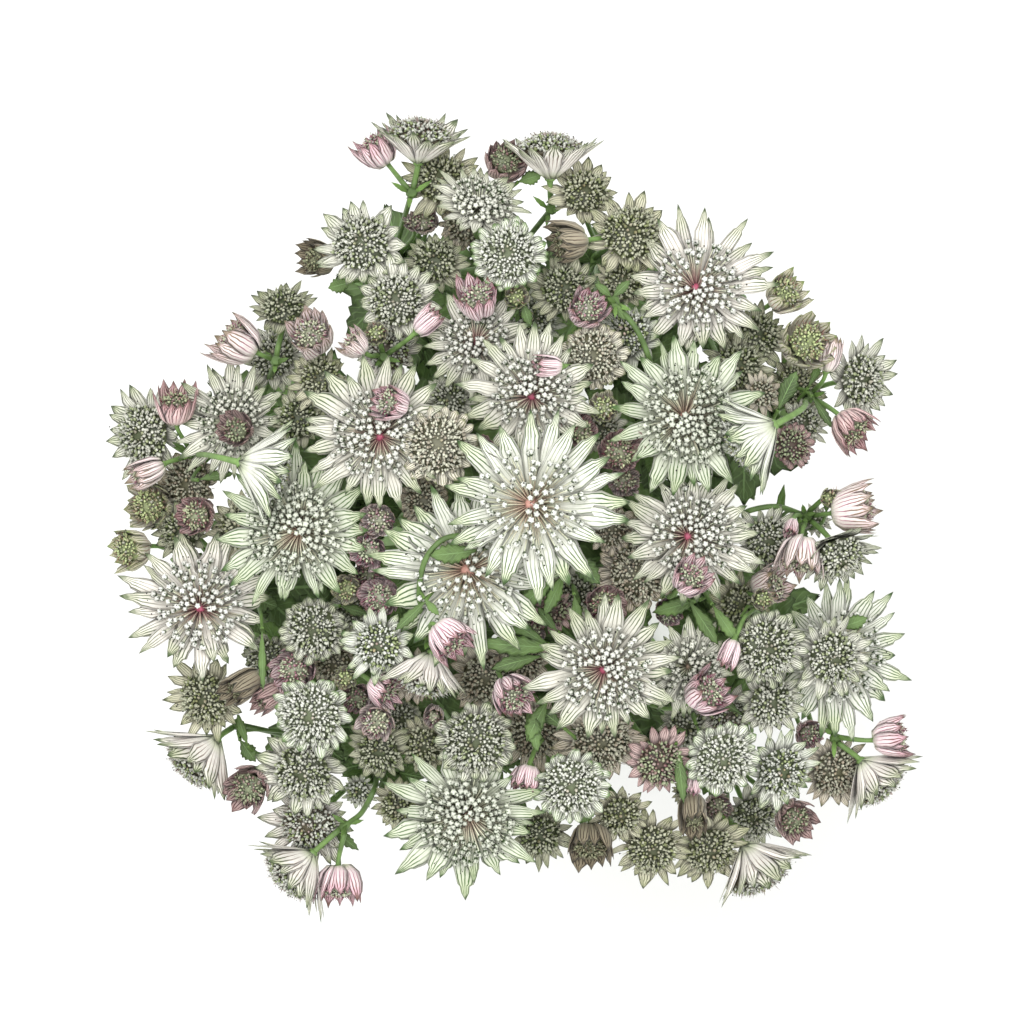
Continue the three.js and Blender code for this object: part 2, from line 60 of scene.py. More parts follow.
# The form of the bunch, as in its solids
TOP_HEIGHT = 330.0
DOME_FALL = 52.0
DOME_RADIUS = 100.0
VIEW_HEIGHT = 2400.0
FORK_DROP = 62.0
REST_TILT = 28.0
STEM_RADIUS = 1.45
MIDDLE_STEM_RADIUS = 1.7
FORK_GAP = 0.3
KNUCKLE_HEIGHT = 3.5
TIE_HEIGHT = 130.0
TIE_RADIUS = 12.0
TWINE_RADIUS = 1.1
TIE_TURNS = 4
INNER_WAIST = 4.1
OUTER_WAISTS = (9.4, 7.7)
INNER_FOOT = 40.0
OUTER_FOOT = 56.0
INNER_TURN = -32.0
OUTER_TURN = -74.0
STEM_FLARE = 0.35
ROOT_CIRCLE = 1.78
SIDE_ROOT_CIRCLE = 1.5
ROOT_SPACING = 1.65
ROOT_DEPTH = 1.2
ROOT_PUSHES = 40
MOST_ROUND_A_CIRCLE = 6
SIDE_KNUCKLE_HEIGHT = 2.5
TURN_STEP = 2.4

# Stalks, stems and leaves
STALK_SIDES = 6
STEM_SIDES = 12
KNUCKLE_STEPS = (0, 0.8, 1.8, 2.8, KNUCKLE_HEIGHT)
KNUCKLE_RADII = (2.3, 2.9, 2.5)
SIDE_KNUCKLE_RADII = (1.6, 1.2)
FORK_STALK_SIDES = 9
STALK_ROOT_RADIUS = 0.8
FORK_STALK_RADIUS = 0.72
LEAF_STALK_RADIUS = 0.5
LEAF_THICKNESS = 0.22
LEAF_FOLD = 0.22
# Half width of a blade from its base to its tip, in parts of its greatest: where along it, and how wide
BLADE_OUTLINE = ((0, 0.12, 0.3, 0.5, 0.7, 0.88, 1), (0.06, 0.2, 0.62, 1.0, 0.86, 0.42, 0.02))
TEETH_FROM = 0.3
TOOTH_REACH = 0.02
COLLAR_DEPTH = 3.0
COLLAR_TURN = 100
COLLAR_LEAF = (42, 15, 4.6)
PALM_LEAF = (4, 34, 8.5)
PALM_PLACE = 2 / 3
LOBE_TURN = 46
THREE_LOBES = (-LOBE_TURN, 0, LOBE_TURN)
FIVE_LOBES = (-88, -44, 0, 44, 88)
PLACED_LEAF_START = 0.985
# The narrow leaves round a fork, and round a side fork: their number and length
FORK_LEAVES = (4, 12)
SIDE_FORK_LEAVES = (3, 6.5)
# The leaves of a stem below its fork: where along its upper part, their turn from outward, and length
LOWER_LEAVES = ((0.97, 166, 28), (0.92, -168, 30), (0.86, 180, 28))

# The twine: how far along it a ply turns once, how far from its middle a ply lies in parts of its
# thickness, and how many points its turns and each loop and end have
TWINE_LAY = 3.4
PLY_OFFSET = 0.45
PLY_SIDES = 5
TURN_POINTS = 620
LOOP_POINTS = 60

# The stage: the half width that the camera sees at the top of the bunch in mm, the corners of the
# floor in metres, and each lamp's name, its place and size in metres and its power in watts
VIEW_HALF_WIDTH = 128.0
FLOOR_CORNERS = ((-4, -4), (4, -4), (4, 4), (-4, 4))
LAMPS = (("key lamp", -0.35, 0.4, 1.3, 25), ("fill lamp", 0.8, -0.8, 2.0, 14))
WORLD_STRENGTH = 0.86

# Seeds of the random numbers: for the lower heads, and for each spray and stem with its own number added
LOWER_SEED = 11
SPRAY_SEED = 100
STEM_SEED = 500

# A flower head: the place of its base as seen from above, its reach, how far it lies below the dome,
# its look, where its axis turns and leans to, in degrees, and where the bare side of its middle is
Head = namedtuple("Head", "kind x y reach drop look facing tilt eye", defaults=(None, None, None))
star = functools.partial(Head, "star")
fan = functools.partial(Head, "fan")
ruff = functools.partial(Head, "ruff")
cushion = functools.partial(Head, "cushion")
cup = functools.partial(Head, "cup")
bud = functools.partial(Head, "bud")

# A side stalk that ends in a fork of its own, by way of points given as (x, y, drop)
Fork = namedtuple("Fork", "x y drop parts via", defaults=((),))

# All that grows from the fork of one stem
Spray = namedtuple("Spray", "x y palm_leaf parts lower_leaves drop", defaults=(True, FORK_DROP))

# A leaf on a long stalk: the places of its root and its tip, how low its root is, and half its width
Leaf = namedtuple("Leaf", "x y drop tip_x tip_y width")

# A stem with all that it carries: the route is its waist, its foot and its angle
Branch = namedtuple("Branch", "number spray leaves route radius")

MIDDLE_SPRAY = Spray(3, 1, False, [
    star(5, 2, 20.8, 0, "white", 0, 0, eye=180), cushion(24.5, -4, 6.2, 12, "beige"),
    cup(27.5, 7.5, 3.6, 18, "blush"), cup(-7.5, 15.5, 3, 6, "wine"), ruff(10.5, -24.5, 5, 15, "mauve"),
    cup(4.5, -29.5, 3.6, 17, "blush"),
])

INNER_SPRAYS = (
    Spray(38, 19, False, [
        star(43, 23.5, 18.4, 3, "dense", eye=120), cup(26, 14.5, 5, 12, "wine"),
        cup(22.5, 25.5, 3.5, 9, "lime"), ruff(29.5, 43, 9.2, 14, "white", 135, 35),
        ruff(62, 29.5, 5, 10, "beige"), Fork(25, 53.5, 2, [], ((35, 36, 6), (31.5, 45, 2))),
    ]),
    Spray(4, 34, False, [
        star(5, 29, 15.8, 8, "soft", eye=250), star(-9, 42, 12.9, 14, "soft"),
        cup(-8, 49.5, 5, 6, "pink", 100, 48), bud(12.5, 36.5, 2.6, 1, "pink", 180, 70),
        cup(16.5, 20, 4, 12, "wine"), cushion(20, 38.5, 8.4, 9, "sandy"),
        cup(17.5, 48.5, 4.5, 8, "pink", 60, 30), cup(1, 53, 2.8, 10, "lime"),
    ]),
    Spray(-36, 25, False, [
        star(-33, 19, 17.2, 2, "soft", eye=300), cushion(-18, 16.5, 9.6, 1, "sandy"),
        cup(-27, 26.5, 4.2, -4, "pink", 165, 50), ruff(-47.5, 33, 7.5, 16, "olive"),
        cup(-48.5, 41.5, 5.2, 8, "blush", 120, 35),
        Fork(-32, 39, 14, [
            cup(-37, 40, 3.4, 3, "blush", 140, 70), bud(-24, 45, 2.8, 5, "pink", 45, 75),
            cup(-33.5, 44, 2.6, 8, "lime"),
        ]),
    ]),
    Spray(-18, -9, False, [
        star(-11, -14.5, 21.4, 9, "white", eye=150), cushion(-22, 3, 6.2, 13, "beige"),
        cup(-32.5, -2, 3.8, 8, "blush"), cup(-35, -9.5, 4, 8, "pink"), cup(-40.5, -19, 3.2, 10, "lime"),
        cup(-32, -21, 4.6, 12, "pink"),
    ]),
    Spray(-28, -34, False, [
        ruff(-33, -33, 8.4, 2, "white"), ruff(-24, -41, 6.4, 15, "beige"),
        cup(-35, -42.5, 4, 5, "pink", 330, 62), cup(-41, -41, 2.5, 9, "lime"),
        Fork(-20.5, -33.5, 6, [
            fan(-20, -35, 12.5, 4, "striped", 255, 94), cup(-19, -28.5, 5, -4, "pink", 315, 72),
        ], (
            (-12, -8, 10), (-12.5, -6, 3), (-17.5, -7, 0.5), (-21.8, -12.2, 0), (-23.2, -20.5, 1),
            (-22, -28, 3),
        )),
    ]),
    Spray(22, -41, False, [
        star(23, -39, 17.2, 0, "soft", eye=190), cup(-2, -43, 4.8, 5, "pink", 310, 45),
        ruff(22, -56.5, 10.8, 14, "beige"), star(44, -38.5, 11.6, 13, "grey"),
        cup(45.5, -47.5, 5.2, 5, "pink", 35, 48), cup(22.5, -22.5, 4.5, 9, "wine"),
        ruff(36.5, -62, 8.4, 6, "mauve"),
    ]),
    Spray(42, -10, False, [
        star(44, -6, 16.7, 6, "soft", eye=180), cushion(31, -15, 9.5, 13, "beige"),
        ruff(63, -7, 8.4, 18, "grey"), cup(61, -20, 4.6, 18, "blush", 20, 60),
        cup(61.8, -21.5, 2.4, 9, "lime"), cup(42.5, -18.5, 4.3, -1, "pink", 50, 42),
    ]),
)

OUTER_SPRAYS = (
    Spray(66, -3, False, [
        Fork(74.5, -1.2, 16, [
            fan(79.5, -7, 11, 4, "grey", 298, 48), cup(80, -0.3, 6.4, 4, "blush", 8, 80),
            cup(72.3, -6.5, 5.4, 6, "blush", 262, 72), cup(78.5, 3.5, 2.2, 5, "lime"),
            bud(70.3, -2, 1.8, 9, "pink", 255, 50),
        ], ((59, -1.5, 26), (59, 0.2, 18), (66, 1.4, 15.5))),
    ], False),
    Spray(64, 26, True, [
        Fork(75, 29, 16, [
            fan(66, 22, 15, -15, "white", 207, 98), cup(82, 24, 5, 5, "wine", 315, 65),
            bud(78.5, 35, 3.2, 3, "blush", 80, 80),
        ]),
        ruff(85.5, 33, 9.8, 9, "grey", 0, 40), cup(71.3, 41, 6, 8, "lime"),
        cushion(69.5, 16.5, 5.6, 13, "mauve"), ruff(72.5, 22, 6, 20, "grey"),
    ]),
    Spray(46, 50, False, [
        star(46, 55.5, 17.2, 5, "rosy", 60, 15, eye=135), ruff(61, 43.5, 7.8, 15, "dark"),
        ruff(56, 36, 8.4, 16, "dark"), cup(65.5, 52.5, 4.7, 5, "lime", 40, 45),
    ]),
    Spray(22, 62, True, [
        ruff(18, 79, 8.4, 9, "olive"), ruff(29, 68.5, 10.4, 4, "olive"), ruff(27.5, 57, 7.2, 13, "olive"),
        cup(18.5, 68, 5, 1, "brown", 190, 75), ruff(13, 55, 8.4, 12, "dark"),
    ]),
    Spray(-2, 62, False, [
        star(-8.5, 75.5, 12, 4, "grey", 70, 45), cushion(-1, 63.5, 9.2, 1, "pale"),
        ruff(-19, 62, 7.9, 13, "dark"), cup(-3, 85.5, 4.8, 9, "mauve", 60, 30),
        Fork(10, 76, 16, [fan(9.5, 83, 13.5, 4, "striped", 90, 82)]),
    ]),
    Spray(-28, 62, True, [
        ruff(-17.5, 82, 9.6, 14, "olive"), ruff(-37, 66, 10.6, 4, "grey"), ruff(-28.5, 52, 10, 10, "grey"),
        cup(-45.5, 63, 4.3, 12, "brown", 180, 50),
        Fork(-25, 80, 6, [
            fan(-23.5, 87, 13, 3, "striped", 85, 74), cup(-31.2, 87.2, 4.9, 3, "pink", 128, 76),
        ]),
    ]),
    Spray(-64, 24, True, [
        star(-69, 22.3, 13.6, 14, "grey"), cup(-67.5, 20, 4.1, 3, "mauve"), ruff(-53, 23, 7.4, 18, "dark"),
        Fork(-81, 14.5, 12, [
            bud(-87, 12, 3.4, 2, "blush", 205, 80), cup(-84, 22.5, 4.8, 3, "wine", 90, 62),
            ruff(-90, 19.5, 11.2, 9, "grey", 185, 36), fan(-68.5, 12.5, 14.5, -13, "white", 345, 98),
        ]),
        Fork(-59, 38, 12, [
            cup(-64, 40, 5.8, 5, "blush", 150, 80), ruff(-57, 50, 7.8, 12, "dark", 100, 35),
        ]),
    ]),
    Spray(-57, 2, False, [
        star(-53, -4.5, 18.6, 3, "dense", eye=260), ruff(-67, -4, 8.6, 15, "olive"),
        cup(-77, -1, 4.5, 5, "wine"),
    ]),
    Spray(-68, -20, True, [
        star(-78, -24, 17.8, 2, "rosy", 90, 14, eye=270), ruff(-82, -5, 7.5, 15, "dark"),
        cup(-92, -8.5, 5, 8, "lime", 190, 45), cup(-88, 1.5, 5.5, 18, "lime"),
    ]),
    Spray(-57, -38, False, [
        cushion(-49, -29, 8.5, 8, "grey"), cup(-53, -38.5, 5, 12, "pink"),
        bud(-57.5, -44, 3.2, 12, "mauve", 215, 60), bud(-63.5, -40.5, 3.9, 8, "brown", 215, 58),
        ruff(-75.5, -46, 9.8, 8, "olive"),
    ]),
    Spray(-52, -56, True, [
        cushion(-49.5, -50, 10, 0, "pale"), ruff(-51.5, -64, 10.8, 9, "grey"),
        cup(-64, -67, 5.2, 6, "mauve"),
        Fork(-69, -53, 16, [fan(-73.5, -56.5, 14.8, 6, "striped", 226, 94)]),
    ]),
    Spray(-34, -64, False, [
        ruff(-33, -59, 7.8, 8, "dark"), cup(-33, -51.3, 4.1, 3, "blush"),
        ruff(-50, -77, 10.4, 14, "striped"),
        Fork(-42.3, -79, 10, [
            fan(-49.5, -85, 14, 3, "striped", 225, 92), cup(-43.5, -88.5, 5, 4, "pink", 270, 80),
        ], ((-34.3, -69, 14), (-37.5, -75, 10.5))),
    ]),
    Spray(-10, -62, False, [
        star(-11.2, -75, 18.2, 2, "dense"), cushion(-9, -56.5, 10, 4, "grey"),
        ruff(-22, -58, 7.2, 13, "olive"), ruff(7, -80, 7.5, 13, "dark"), ruff(-28, -73, 6.8, 15, "olive"),
        bud(-19, -50, 2.6, 10, "blush"),
    ]),
    Spray(17, -62, True, [
        cushion(14.5, -67.5, 9.4, 2, "pale"), ruff(27, -75, 7.2, 9, "olive"),
        ruff(34.5, -83, 9.4, 8, "olive"), cup(19.5, -79, 5.2, 9, "brown", 270, 52),
        cup(4.2, -63.5, 3.8, 7, "pink", 255, 76),
    ]),
    Spray(52, -62, False, [
        cushion(52, -61, 9.4, 0, "pale"), ruff(64, -47, 8.4, 10, "grey"), ruff(66.5, -64, 9.4, 7, "white"),
        cup(69, -75, 4.6, 8, "mauve"), bud(45, -71, 3.8, 5, "brown", 275, 50),
        ruff(49, -83.5, 9.2, 9, "olive"), bud(45.8, -65.5, 1.9, 1, "pink", 262, 72),
        Fork(54, -78, 12, [fan(58, -83, 14.5, 6, "striped", 300, 92)]),
    ]),
    Spray(69, -36, True, [
        star(80, -35, 18.2, 14, "white"), ruff(79, -36, 9.8, -1, "grey"),
        cushion(63, -33.5, 9.5, 3, "grey"), bud(55.5, -32, 2.6, 1, "pink", 250, 75),
        ruff(80, -64, 9.2, 12, "beige"),
        Fork(81, -57, 8, [fan(87, -62, 13, 3, "striped", 312, 92), cup(90.5, -57, 5, 1, "pink", 8, 78)]),
    ]),
)

# How the half width of a bract runs from its base to its tip, in parts of its greatest
STAR_OUTLINE = ((0, 0.42), (0.18, 0.62), (0.38, 0.90), (0.56, 1.0), (0.70, 0.90), (0.80, 0.68),
                (0.83, 0.48), (0.91, 0.34), (1, 0.02))
RUFF_OUTLINE = ((0, 0.5), (0.34, 0.85), (0.58, 1.0), (0.74, 0.82), (0.88, 0.44), (1, 0.02))
SHORT_OUTLINE = ((0, 0.4), (0.40, 0.8), (0.68, 1.0), (0.86, 0.80), (0.94, 0.42), (1, 0.03))
CUP_OUTLINE = ((0, 0.4), (0.18, 0.82), (0.42, 1.0), (0.66, 0.96), (0.82, 0.74), (0.91, 0.30), (1, 0.02))

# Each kind of flower, with lengths in parts of its reach. The way is the four points of the curve that
# its bracts follow from base to tip, as (radius, height). Wrap is how far the bracts bend round the
# axis, fold how deep their midrib lies and spread how much their lengths differ. Dome is the radius of
# the florets, and middle and rim are their heights there. Florets is their number on an open head,
# knob the size of one, and stalk the radius of the stalk in mm.
Kind = namedtuple("Kind", "way outline bracts half_width columns wrap fold spread"
                  " dome middle rim florets knob stalk")
KINDS = {
    "star": Kind(((0.05, 0.01), (0.36, 0.12), (0.76, 0.29), (1.11, 0.33)), STAR_OUTLINE,
                 23, 0.136, 4, 0.0, 0.3, 0.12, 0.66, 0.36, 0.30, 150, 0.88, 1.0),
    "fan": Kind(((0.06, 0.01), (0.30, 0.24), (0.62, 0.52), (0.96, 0.76)), STAR_OUTLINE,
                20, 0.185, 4, 0.3, 0.2, 0.08, 0.58, 0.86, 0.60, 0, 0.80, 0.9),
    "ruff": Kind(((0.08, 0.01), (0.50, 0.07), (0.82, 0.26), (1.14, 0.34)), RUFF_OUTLINE,
                 19, 0.17, 3, 0.0, 0.25, 0.13, 0.68, 0.54, 0.34, 0, 0.80, 0.8),
    "cushion": Kind(((0.08, 0.01), (0.45, 0.06), (0.80, 0.24), (1.05, 0.31)), SHORT_OUTLINE,
                    28, 0.165, 2, 0.0, 0.15, 0.09, 0.76, 0.54, 0.34, 0, 0.76, 0.8),
    "cup": Kind(((0.20, 0.0), (0.90, 0.04), (1.04, 0.90), (1.13, 1.86)), CUP_OUTLINE,
                13, 0.41, 3, 0.9, 0.1, 0.12, 0.76, 1.52, 1.20, 0, 0.74, 0.7),
    "bud": Kind(((0.18, 0.0), (1.0, 0.2), (1.0, 1.7), (0.9, 3.0)), CUP_OUTLINE,
                10, 0.52, 3, 1.0, 0.0, 0.10, 0.6, 2.4, 2.1, 0, 0.55, 0.7),
}
SHUT_KINDS = ("cup", "bud")
STRIPED_KINDS = ("fan", "cup", "bud")

# How the bracts of a head differ: how far they stray from even turns, how wide they are and how deep
# their midribs lie, and the spreads of their droop, sway, tilt and ragged edges. Every second bract
# lies a little under its neighbours.
BRACT_STRAY = 0.36
BRACT_WIDTHS = (0.78, 1.22)
BRACT_FOLDS = (-0.6, 1.6)
BRACT_DROOP = 0.045
BRACT_SWAY = 0.05
BRACT_TILT = 0.16
BRACT_RAGGED = 0.10
BRACT_UNDER = 0.035

# How many more or fewer florets a star of a look has, the reach at which it has them all, and the
# least number of florets on a crowded dome
CROWDING = {"white": 0.75, "rosy": 0.88, "dense": 1.4}
FULL_REACH = 17
LEAST_FLORETS = 12
# The turn from one floret to the next, and how far they stray from it
GOLDEN_TURN = math.radians(137.508)
TURN_STRAY = 0.15
# The area that a floret takes on a dome, in parts of the square of its spacing
FLORET_AREA = 0.866
# The widest floret, in parts of the size for its head, and how bright florets are
FLORET_MOST = 1.12
FLORET_BRIGHT = (0.76, 1.06)
# The bare side of an open head's middle, in parts of its reach and in radians to either side
BARE_FROM, BARE_TO, BARE_TURN = 0.07, 0.30, 1.0
# The filament of an anther, as three points round it, and how far the anther strays, how high it
# stands over its floret and its size
FILAMENT = np.array(((0.05, 0, 0), (-0.03, 0.05, 0), (-0.03, -0.05, 0)))
ANTHER_STRAY = 0.7
ANTHER_RISE = 0.75
ANTHER_SIZES = (0.17, 0.29)
# For how many florets there is an anther, on an open head, True, and on a crowded dome, False
ANTHER_STEPS = {True: 2, False: 8}
# The radius of the green collar under a shut head and under any other, in parts of its reach
SHUT_COLLAR, OPEN_COLLAR = 0.24, 0.1
# The needles of a crowded dome: their number for each floret, how far they lean and stray, their
# lengths and their radius
NEEDLE_SHARE = 0.8
NEEDLE_LEAN = 0.28
NEEDLE_STRAY = 0.3
NEEDLE_LENGTHS = (1.1, 2.1)
NEEDLE_RADIUS = 0.13
# A pedicel: its radius and how green it is at its foot, its bend and its top
PEDICEL_RADII = np.array((0.24, 0.19, 0.22))[:, None, None]
PEDICEL_GREEN = np.repeat((0.0, 0.6, 1.0), 3)[:, None]

# Heads that fill the depth between the others: where they go, and their kinds, looks and spare reach
LOWER_CLEARANCE = 1.25
LOWER_MOST = 11.0
LOWER_CUP_MOST = 5.0
LEAST_LOWER = 3.0
LOWER_DROP = (20.0, 30.0)
LOWER_EXTENT = 95
LOWER_STEP = 1.5
SURROUND = 30.0
WIDEST_OPENING = math.radians(105)
SIDEWAYS_TILT = 45
LOWER_SORTS = (
    ("ruff", "grey", 5), ("ruff", "beige", 5.5), ("ruff", "striped", 6), ("cushion", "grey", 4),
    ("cup", "blush", 4), ("ruff", "white", 6), ("ruff", "olive", 5), ("cushion", "beige", 4.5),
    ("cup", "pink", 4), ("ruff", "grey", 5),
)
# Dark openings that stay free of lower heads, and round ones between the outer heads that show what
# lies behind the bunch: x, y and radius
DARK_GAPS = ((-22.7, 37.5, 4.5), (50, -27, 4))
OPEN_GAPS = (
    (-29, 76.5, 3.5), (-35.8, 82, 6), (-48, 83, 11), (-59.8, 70, 11), (-46, 51.5, 4.2), (-52.3, 60.3, 3.5),
    (-41.5, 50.3, 2.8), (-71, 57.3, 7.5), (-69, 36.3, 2), (-78.5, 35, 2), (-92, -17.8, 2.3),
    (-85.3, -40.5, 3.2), (-64, -53, 2.2), (-62.8, -58.8, 2), (-63.8, -75.5, 3), (-37, -79.3, 3.8),
    (-35.3, -88.8, 6.5), (-36, -75.3, 2), (-29, -85, 1.8), (-16, -90.3, 3.5), (-2.3, -90.8, 2.8),
    (11.8, -85.5, 2), (21.3, -91, 3.3), (38.5, -72.3, 2), (6.3, 75.5, 2), (1.8, 78.5, 1.8), (16.8, 62.5, 2),
    (11.8, 61.5, 2), (28, 76.5, 2), (43.3, 74.8, 2.6), (58, 69, 2.5), (60.8, 60.5, 2.5), (65.5, 63.3, 5),
    (78.5, 53, 7.5), (71.3, 48.8, 2), (86, 47, 5), (77.3, 22.8, 1.8), (78.3, 12, 6.7), (72.5, 7, 5.8),
    (66.3, 5.3, 3.6), (62.3, 4.8, 2.8), (85.8, 11.5, 4.2), (81.5, 5.3, 2), (89.8, -7, 2),
    (89.8, -18.8, 1.8), (93, -27.3, 2.4), (85.5, -51.3, 3.8),
)

# Leaves seen between the heads: the places of root and tip, and half the width
PLACED_LEAVES = (
    (1.5, 82.5, 8, 7.5, 84.5, 2.2), (-40, 57.5, 12, -46, 56, 2.4), (-7, 57, 9, -13, 53, 2),
    (2, 54, 7, -1, 47.5, 1.6), (2.5, 53, 7, 4.5, 46, 1.6), (25, 53.5, 1, 29.5, 58, 1.5),
    (25, 53.5, 1, 21, 57.5, 1.4), (24.5, 53, 1, 28.5, 48, 1.4), (58, 52, 10, 51.5, 36, 2.4),
    (66.5, 25.5, 5, 71, 35.5, 2.6), (75, 29, 10, 80.5, 20.5, 1.3), (74, 31, 12, 77.5, 38, 1.2),
    (78.5, -0.5, 10, 79, 5, 1.2), (72, -2.5, 12, 73, -8, 1.6), (-8.5, -9.5, 2, -20.5, -11.5, 3),
    (-21.5, -22, -2, -28.8, -30, 1.7), (-22, -21.5, -2, -18.5, -26, 1.2), (11.5, -34, 4, -8.5, -33, 3),
    (9, -33, 4.5, -3.5, -26.5, 2.2), (7.5, -36, 5, -5.5, -38.5, 2.4), (11, -15.5, 5, 1.5, -24.5, 2.6),
    (13, -15, 6, 8.5, -26, 2.2), (15.5, -20.5, 6, 16.8, -28.5, 1.5), (14.5, -10, 5, 22, -18, 3.2),
    (11.5, -30, 6, 6, -24, 1.6), (47, -22, 12, 35, -25, 2.6), (44, -22, 12, 52, -33, 2.2),
    (50, -23, 8, 56.5, -33, 2), (9, -47, 8, 3, -57, 2.6), (4, -48, 8, 6.5, -60, 2.4),
    (13, -54, 6, 6.5, -49, 2), (-62.5, -29, 3, -62.5, -45, 1.2), (-66, -58.5, 12, -69, -50.5, 1.4),
    (-68, -57, 14, -64, -62.5, 2.4), (82, -29, 0, 89, -26.5, 2.2), (58, -51, 9, 45, -42, 2.2),
    (46, -53, 6, 50, -63, 1.8), (57.5, -26, 9, 53.5, -38, 1.6), (-84, -11.5, 14, -75, -11.5, 1.8),
    (-43, -23.5, 14, -36, -25.5, 1.6), (41, -58, 4, 43.5, -73, 1.8), (-78.5, 8, 8, -69.5, 10.5, 1.6),
    (-46, -78, 14, -38.5, -85, 1.8), (3, -71, 8, 2.5, -80, 1.5),
)

# The colours of a head, and those of each look in the same order
LOOK_PARTS = {
    "bract": "Papery bract", "vein": "Veins on the bract", "tip": "Toothed tip of the bract",
    "eye": "Where the stalks of the florets meet", "floret": "Petals of the florets",
    "flush": "Flush that spreads into the bract from its tip",
}
LOOKS = {
    "white": (0xE4E5DA, 0x717E58, 0x34561C, 0xDBA698, 0xF4F5EC, 0xBDC992),
    "rosy": (0xE3DFD6, 0x84766A, 0x40562A, 0xC4627C, 0xF4F3EC, 0xBFC49C),
    # Painted shade: the soft look is the rosy one darkened, for stars that lie among and under other heads
    "soft": (0xD6D4C8, 0x7A7060, 0x3F562A, 0xC4627C, 0xECEBE2, 0xB9C096),
    "dense": (0xD0D4C2, 0x667848, 0x3A5C1E, 0xD0A090, 0xDFE2D2, 0xB2BD90),
    "pale": (0xF8F8EE, 0x9AA47E, 0x5C7A3C, 0xB09A80, 0xFAFAF0, 0xDDE2CA),
    "sandy": (0xF0ECDC, 0xA0967C, 0x6C7448, 0xB4AA84, 0xECEAD6, 0xDCCFBE),
    "grey": (0xE0DFD2, 0x727858, 0x3C4E26, 0x98836F, 0xE8E8DB, 0xB8C096),
    "striped": (0xF0ECE4, 0x84695F, 0x3C5020, 0xA8757A, 0xE9EADF, 0xAEBB86),
    "beige": (0xDBD3C3, 0x877962, 0x5E6038, 0xAB9A78, 0xD3D0BC, 0xC9B8A6),
    # Partly painted shade: olive is a greener tone of the heads, darkened for lower heads in the shade of
    # others
    "olive": (0xCFCCB3, 0x69694A, 0x3A4524, 0x8E705A, 0xCFCFB6, 0x9FA474),
    # Painted shade: the dark look is a darkened grey-green, for heads that lie deep in the shade of the
    # bunch
    "dark": (0xBDBDA4, 0x565C3E, 0x2D3A20, 0x745A4A, 0xC6C7B0, 0x838C5C),
    "pink": (0xF2E1E2, 0x9C3A66, 0x6A4A3C, 0xB0607A, 0xE2E8C8, 0xD49CAC),
    "wine": (0xE2C8C4, 0x904658, 0x5E4238, 0x985466, 0xD2D8B0, 0xB58288),
    "blush": (0xF1E7E2, 0x974467, 0x76694A, 0xB07C80, 0xDFE2C2, 0xD9BABC),
    "lime": (0xE4E1D0, 0xAC7E72, 0x70863F, 0xA6B86E, 0xD8E4A8, 0xCFC4A2),
    "brown": (0xA39A84, 0x5A4638, 0x3E3628, 0x745848, 0xB0B08E, 0x82765E),
    "mauve": (0xD6BEB8, 0x844E5C, 0x583C3A, 0x844F60, 0xB8C09C, 0xAC8A86),
}

# The colours that all plants and the tie share: label, use and colour
SHARED_COLOURS = {
    "calyx": ("Calyx", "Green cup under each floret", 0x45602E),
    "pedicel": ("Pedicel", "Thin stalk of a floret", 0xD4DBC0),
    # Painted shade: the core colour is a dark green that stands for the shade between packed florets
    "shade": ("Core", "Green depth between packed florets", 0x404B2E),
    "anther": ("Anther", "Ripe anthers", 0x14110F),
    "stalk": ("Stalk", "Stalks of the heads", 0x56703A),
    "stalk_top": ("Stalk top", "Stalks where they meet the bracts", 0x719050),
    "stem": ("Stem", "Main stems", 0x5C7A3A),
    "cut": ("Cut end", "Pith on the cut foot of a stem", 0xC3CBA0),
    "leaf": ("Leaf", "Toothed leaves", 0x4A6030),
    "leaf_vein": ("Leaf vein", "Midrib and side veins of the leaves", 0x75935A),
    "bracteole": ("Fork leaf", "Narrow leaves round the forks", 0x62803F),
    "twine": ("Twine", "Twine of the tie", 0xB59A6B),
    "floor": ("Floor", "Plain floor under the bunch", 0xF6F6F4),
}
# The foot of a bract, as linear red, green, blue and alpha, and the painted shade that darkens the
# colour in creases: how far in metres the creases are felt for, and in how many directions
BRACT_FOOT = (0.48, 0.54, 0.33, 1)
PAINTED_SHADE_REACH = 0.0016
PAINTED_SHADE_SAMPLES = 6


def linear(colour):
    """A 0xRRGGBB colour as linear red, green and blue."""
    parts = np.array([(colour >> shift) & 255 for shift in (16, 8, 0)]) / 255
    return np.where(parts <= 0.04045, parts / 12.92, ((parts + 0.055) / 1.055) ** 2.4)


def unit(way):
    """A vector, or each row of an array, at length 1."""
    return way / np.linalg.norm(way, axis=-1, keepdims=True)


def polar(radius, turn, height=0.0):
    """Points given by their distance from z, their turn about it in radians, and their height."""
    radius, turn, height = np.broadcast_arrays(radius, turn, height)
    return np.stack((radius * np.cos(turn), radius * np.sin(turn), height), -1)


def circle(sides, start=0.0):
    """Even spots round a circle of 1 about z, the first of them a part of a step on from x."""
    return polar(1.0, 2 * math.pi * (np.arange(sides) + start) / sides)


def direction(azimuth, lean):
    fall = math.radians(lean)
    return polar(math.sin(fall), math.radians(azimuth), math.cos(fall))


def heading(x, y):
    return math.degrees(math.atan2(y, x))


def place(x, y, drop):
    """Where a place lies: what is lower stands a little further out than it looks from above."""
    outward = math.hypot(x, y) / DOME_RADIUS
    height = TOP_HEIGHT - DOME_FALL * outward * outward - drop
    spread = 1 + (TOP_HEIGHT - height) / VIEW_HEIGHT
    return np.array((x * spread, y * spread, height))


def place_of(part):
    return place(part.x, part.y, part.drop)


def square_to(axis, towards):
    """Two ways square to an axis and to each other, the first as near to a given way as can be."""
    across = unit(towards - axis * axis.dot(towards))
    return across, np.cross(axis, across)


def level_side(axis):
    level = np.cross(UP, axis)
    return level if np.linalg.norm(level) > 1e-6 else np.array((1.0, 0.0, 0.0))


